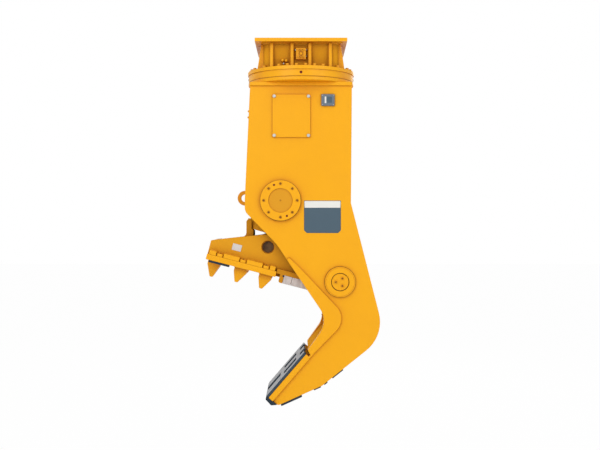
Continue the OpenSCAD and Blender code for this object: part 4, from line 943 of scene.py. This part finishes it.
def seen_rays(tree):
    """The light path of a ray, and one where it comes from the camera or off a glossy surface."""
    path = add(tree, "ShaderNodeLightPath").outputs
    return path, combined(tree, "MAXIMUM", path["Is Camera Ray"], path["Is Glossy Ray"])


floor_z = cad_box[0][2] - FLOOR_DROP
mesh = bpy.data.meshes.new("studio_floor")
floor_corners = [(a * FLOOR_HALF, b * FLOOR_HALF, floor_z) for a, b in CORNERS]
mesh.from_pydata(floor_corners, [], [(0, 1, 2, 3)])
studio_floor = bpy.data.objects.new("studio_floor", mesh)
bpy.context.scene.collection.objects.link(studio_floor)
floor_mat = bpy.data.materials.new("studio_floor")
floor_mat.use_nodes = True
tree = floor_mat.node_tree
bsdf = tree.nodes["Principled BSDF"]
bsdf.inputs["Base Color"].default_value = (0.82, 0.82, 0.82, 1)
bsdf.inputs["Roughness"].default_value = 0.8
glow = add(tree, "ShaderNodeEmission", {"Color": WHITE, "Strength": 1.0})
share = times(tree, seen_rays(tree)[1], FLOOR_GLOW)
lit = add(tree, "ShaderNodeMixShader", {0: share, 1: bsdf.outputs[0], 2: glow.outputs[0]})
clear = add(tree, "ShaderNodeBsdfTransparent")
underside = add(tree, "ShaderNodeNewGeometry").outputs["Backfacing"]
one_sided = add(tree, "ShaderNodeMixShader", {0: underside, 1: lit.outputs[0], 2: clear.outputs[0]})
tree.links.new(one_sided.outputs[0], tree.nodes["Material Output"].inputs["Surface"])
mesh.materials.append(floor_mat)

world = bpy.data.worlds.new("studio")
bpy.context.scene.world = world
world.use_nodes = True
tree = world.node_tree
back = tree.nodes["Background"]
back.inputs["Color"].default_value = WHITE
path, seen = seen_rays(tree)
seen = combined(tree, "MAXIMUM", seen, path["Is Transmission Ray"])
tree.links.new(spread(tree, seen, 0.0, 1.0, SKY_LIGHT, 1.0), back.inputs["Strength"])


def lamp(name, place, target, watts, size=4.0):
    """A square area light that looks at a target."""
    light = bpy.data.lights.new(name, "AREA")
    light.shape = "SQUARE"
    light.size = size
    light.energy = watts
    made = bpy.data.objects.new(name, light)
    bpy.context.scene.collection.objects.link(made)
    made.location = place
    made.rotation_euler = (Vector(target) - Vector(place)).to_track_quat("-Z", "Y").to_euler()


lamp("key_light", (-3.2, -6.5, 2.2), (0, 0, -1.2), 180)
lamp("fill_light", (4.5, -6.0, 0.2), (0, 0, -1.4), 104)
lamp("back_light", (1.5, 6.0, 2.5), (0, 0, -1.2), 170)

camera_data = bpy.data.cameras.new("camera")
camera_data.lens = 57.0
camera_data.sensor_width = 36.0
camera_data.clip_end = 200
camera = bpy.data.objects.new("camera", camera_data)
bpy.context.scene.collection.objects.link(camera)
camera.location = (-0.007, -7.1, -1.335)
camera.rotation_euler = (math.radians(90), 0, 0)
bpy.context.scene.camera = camera
bpy.context.scene.view_settings.view_transform = "Standard"
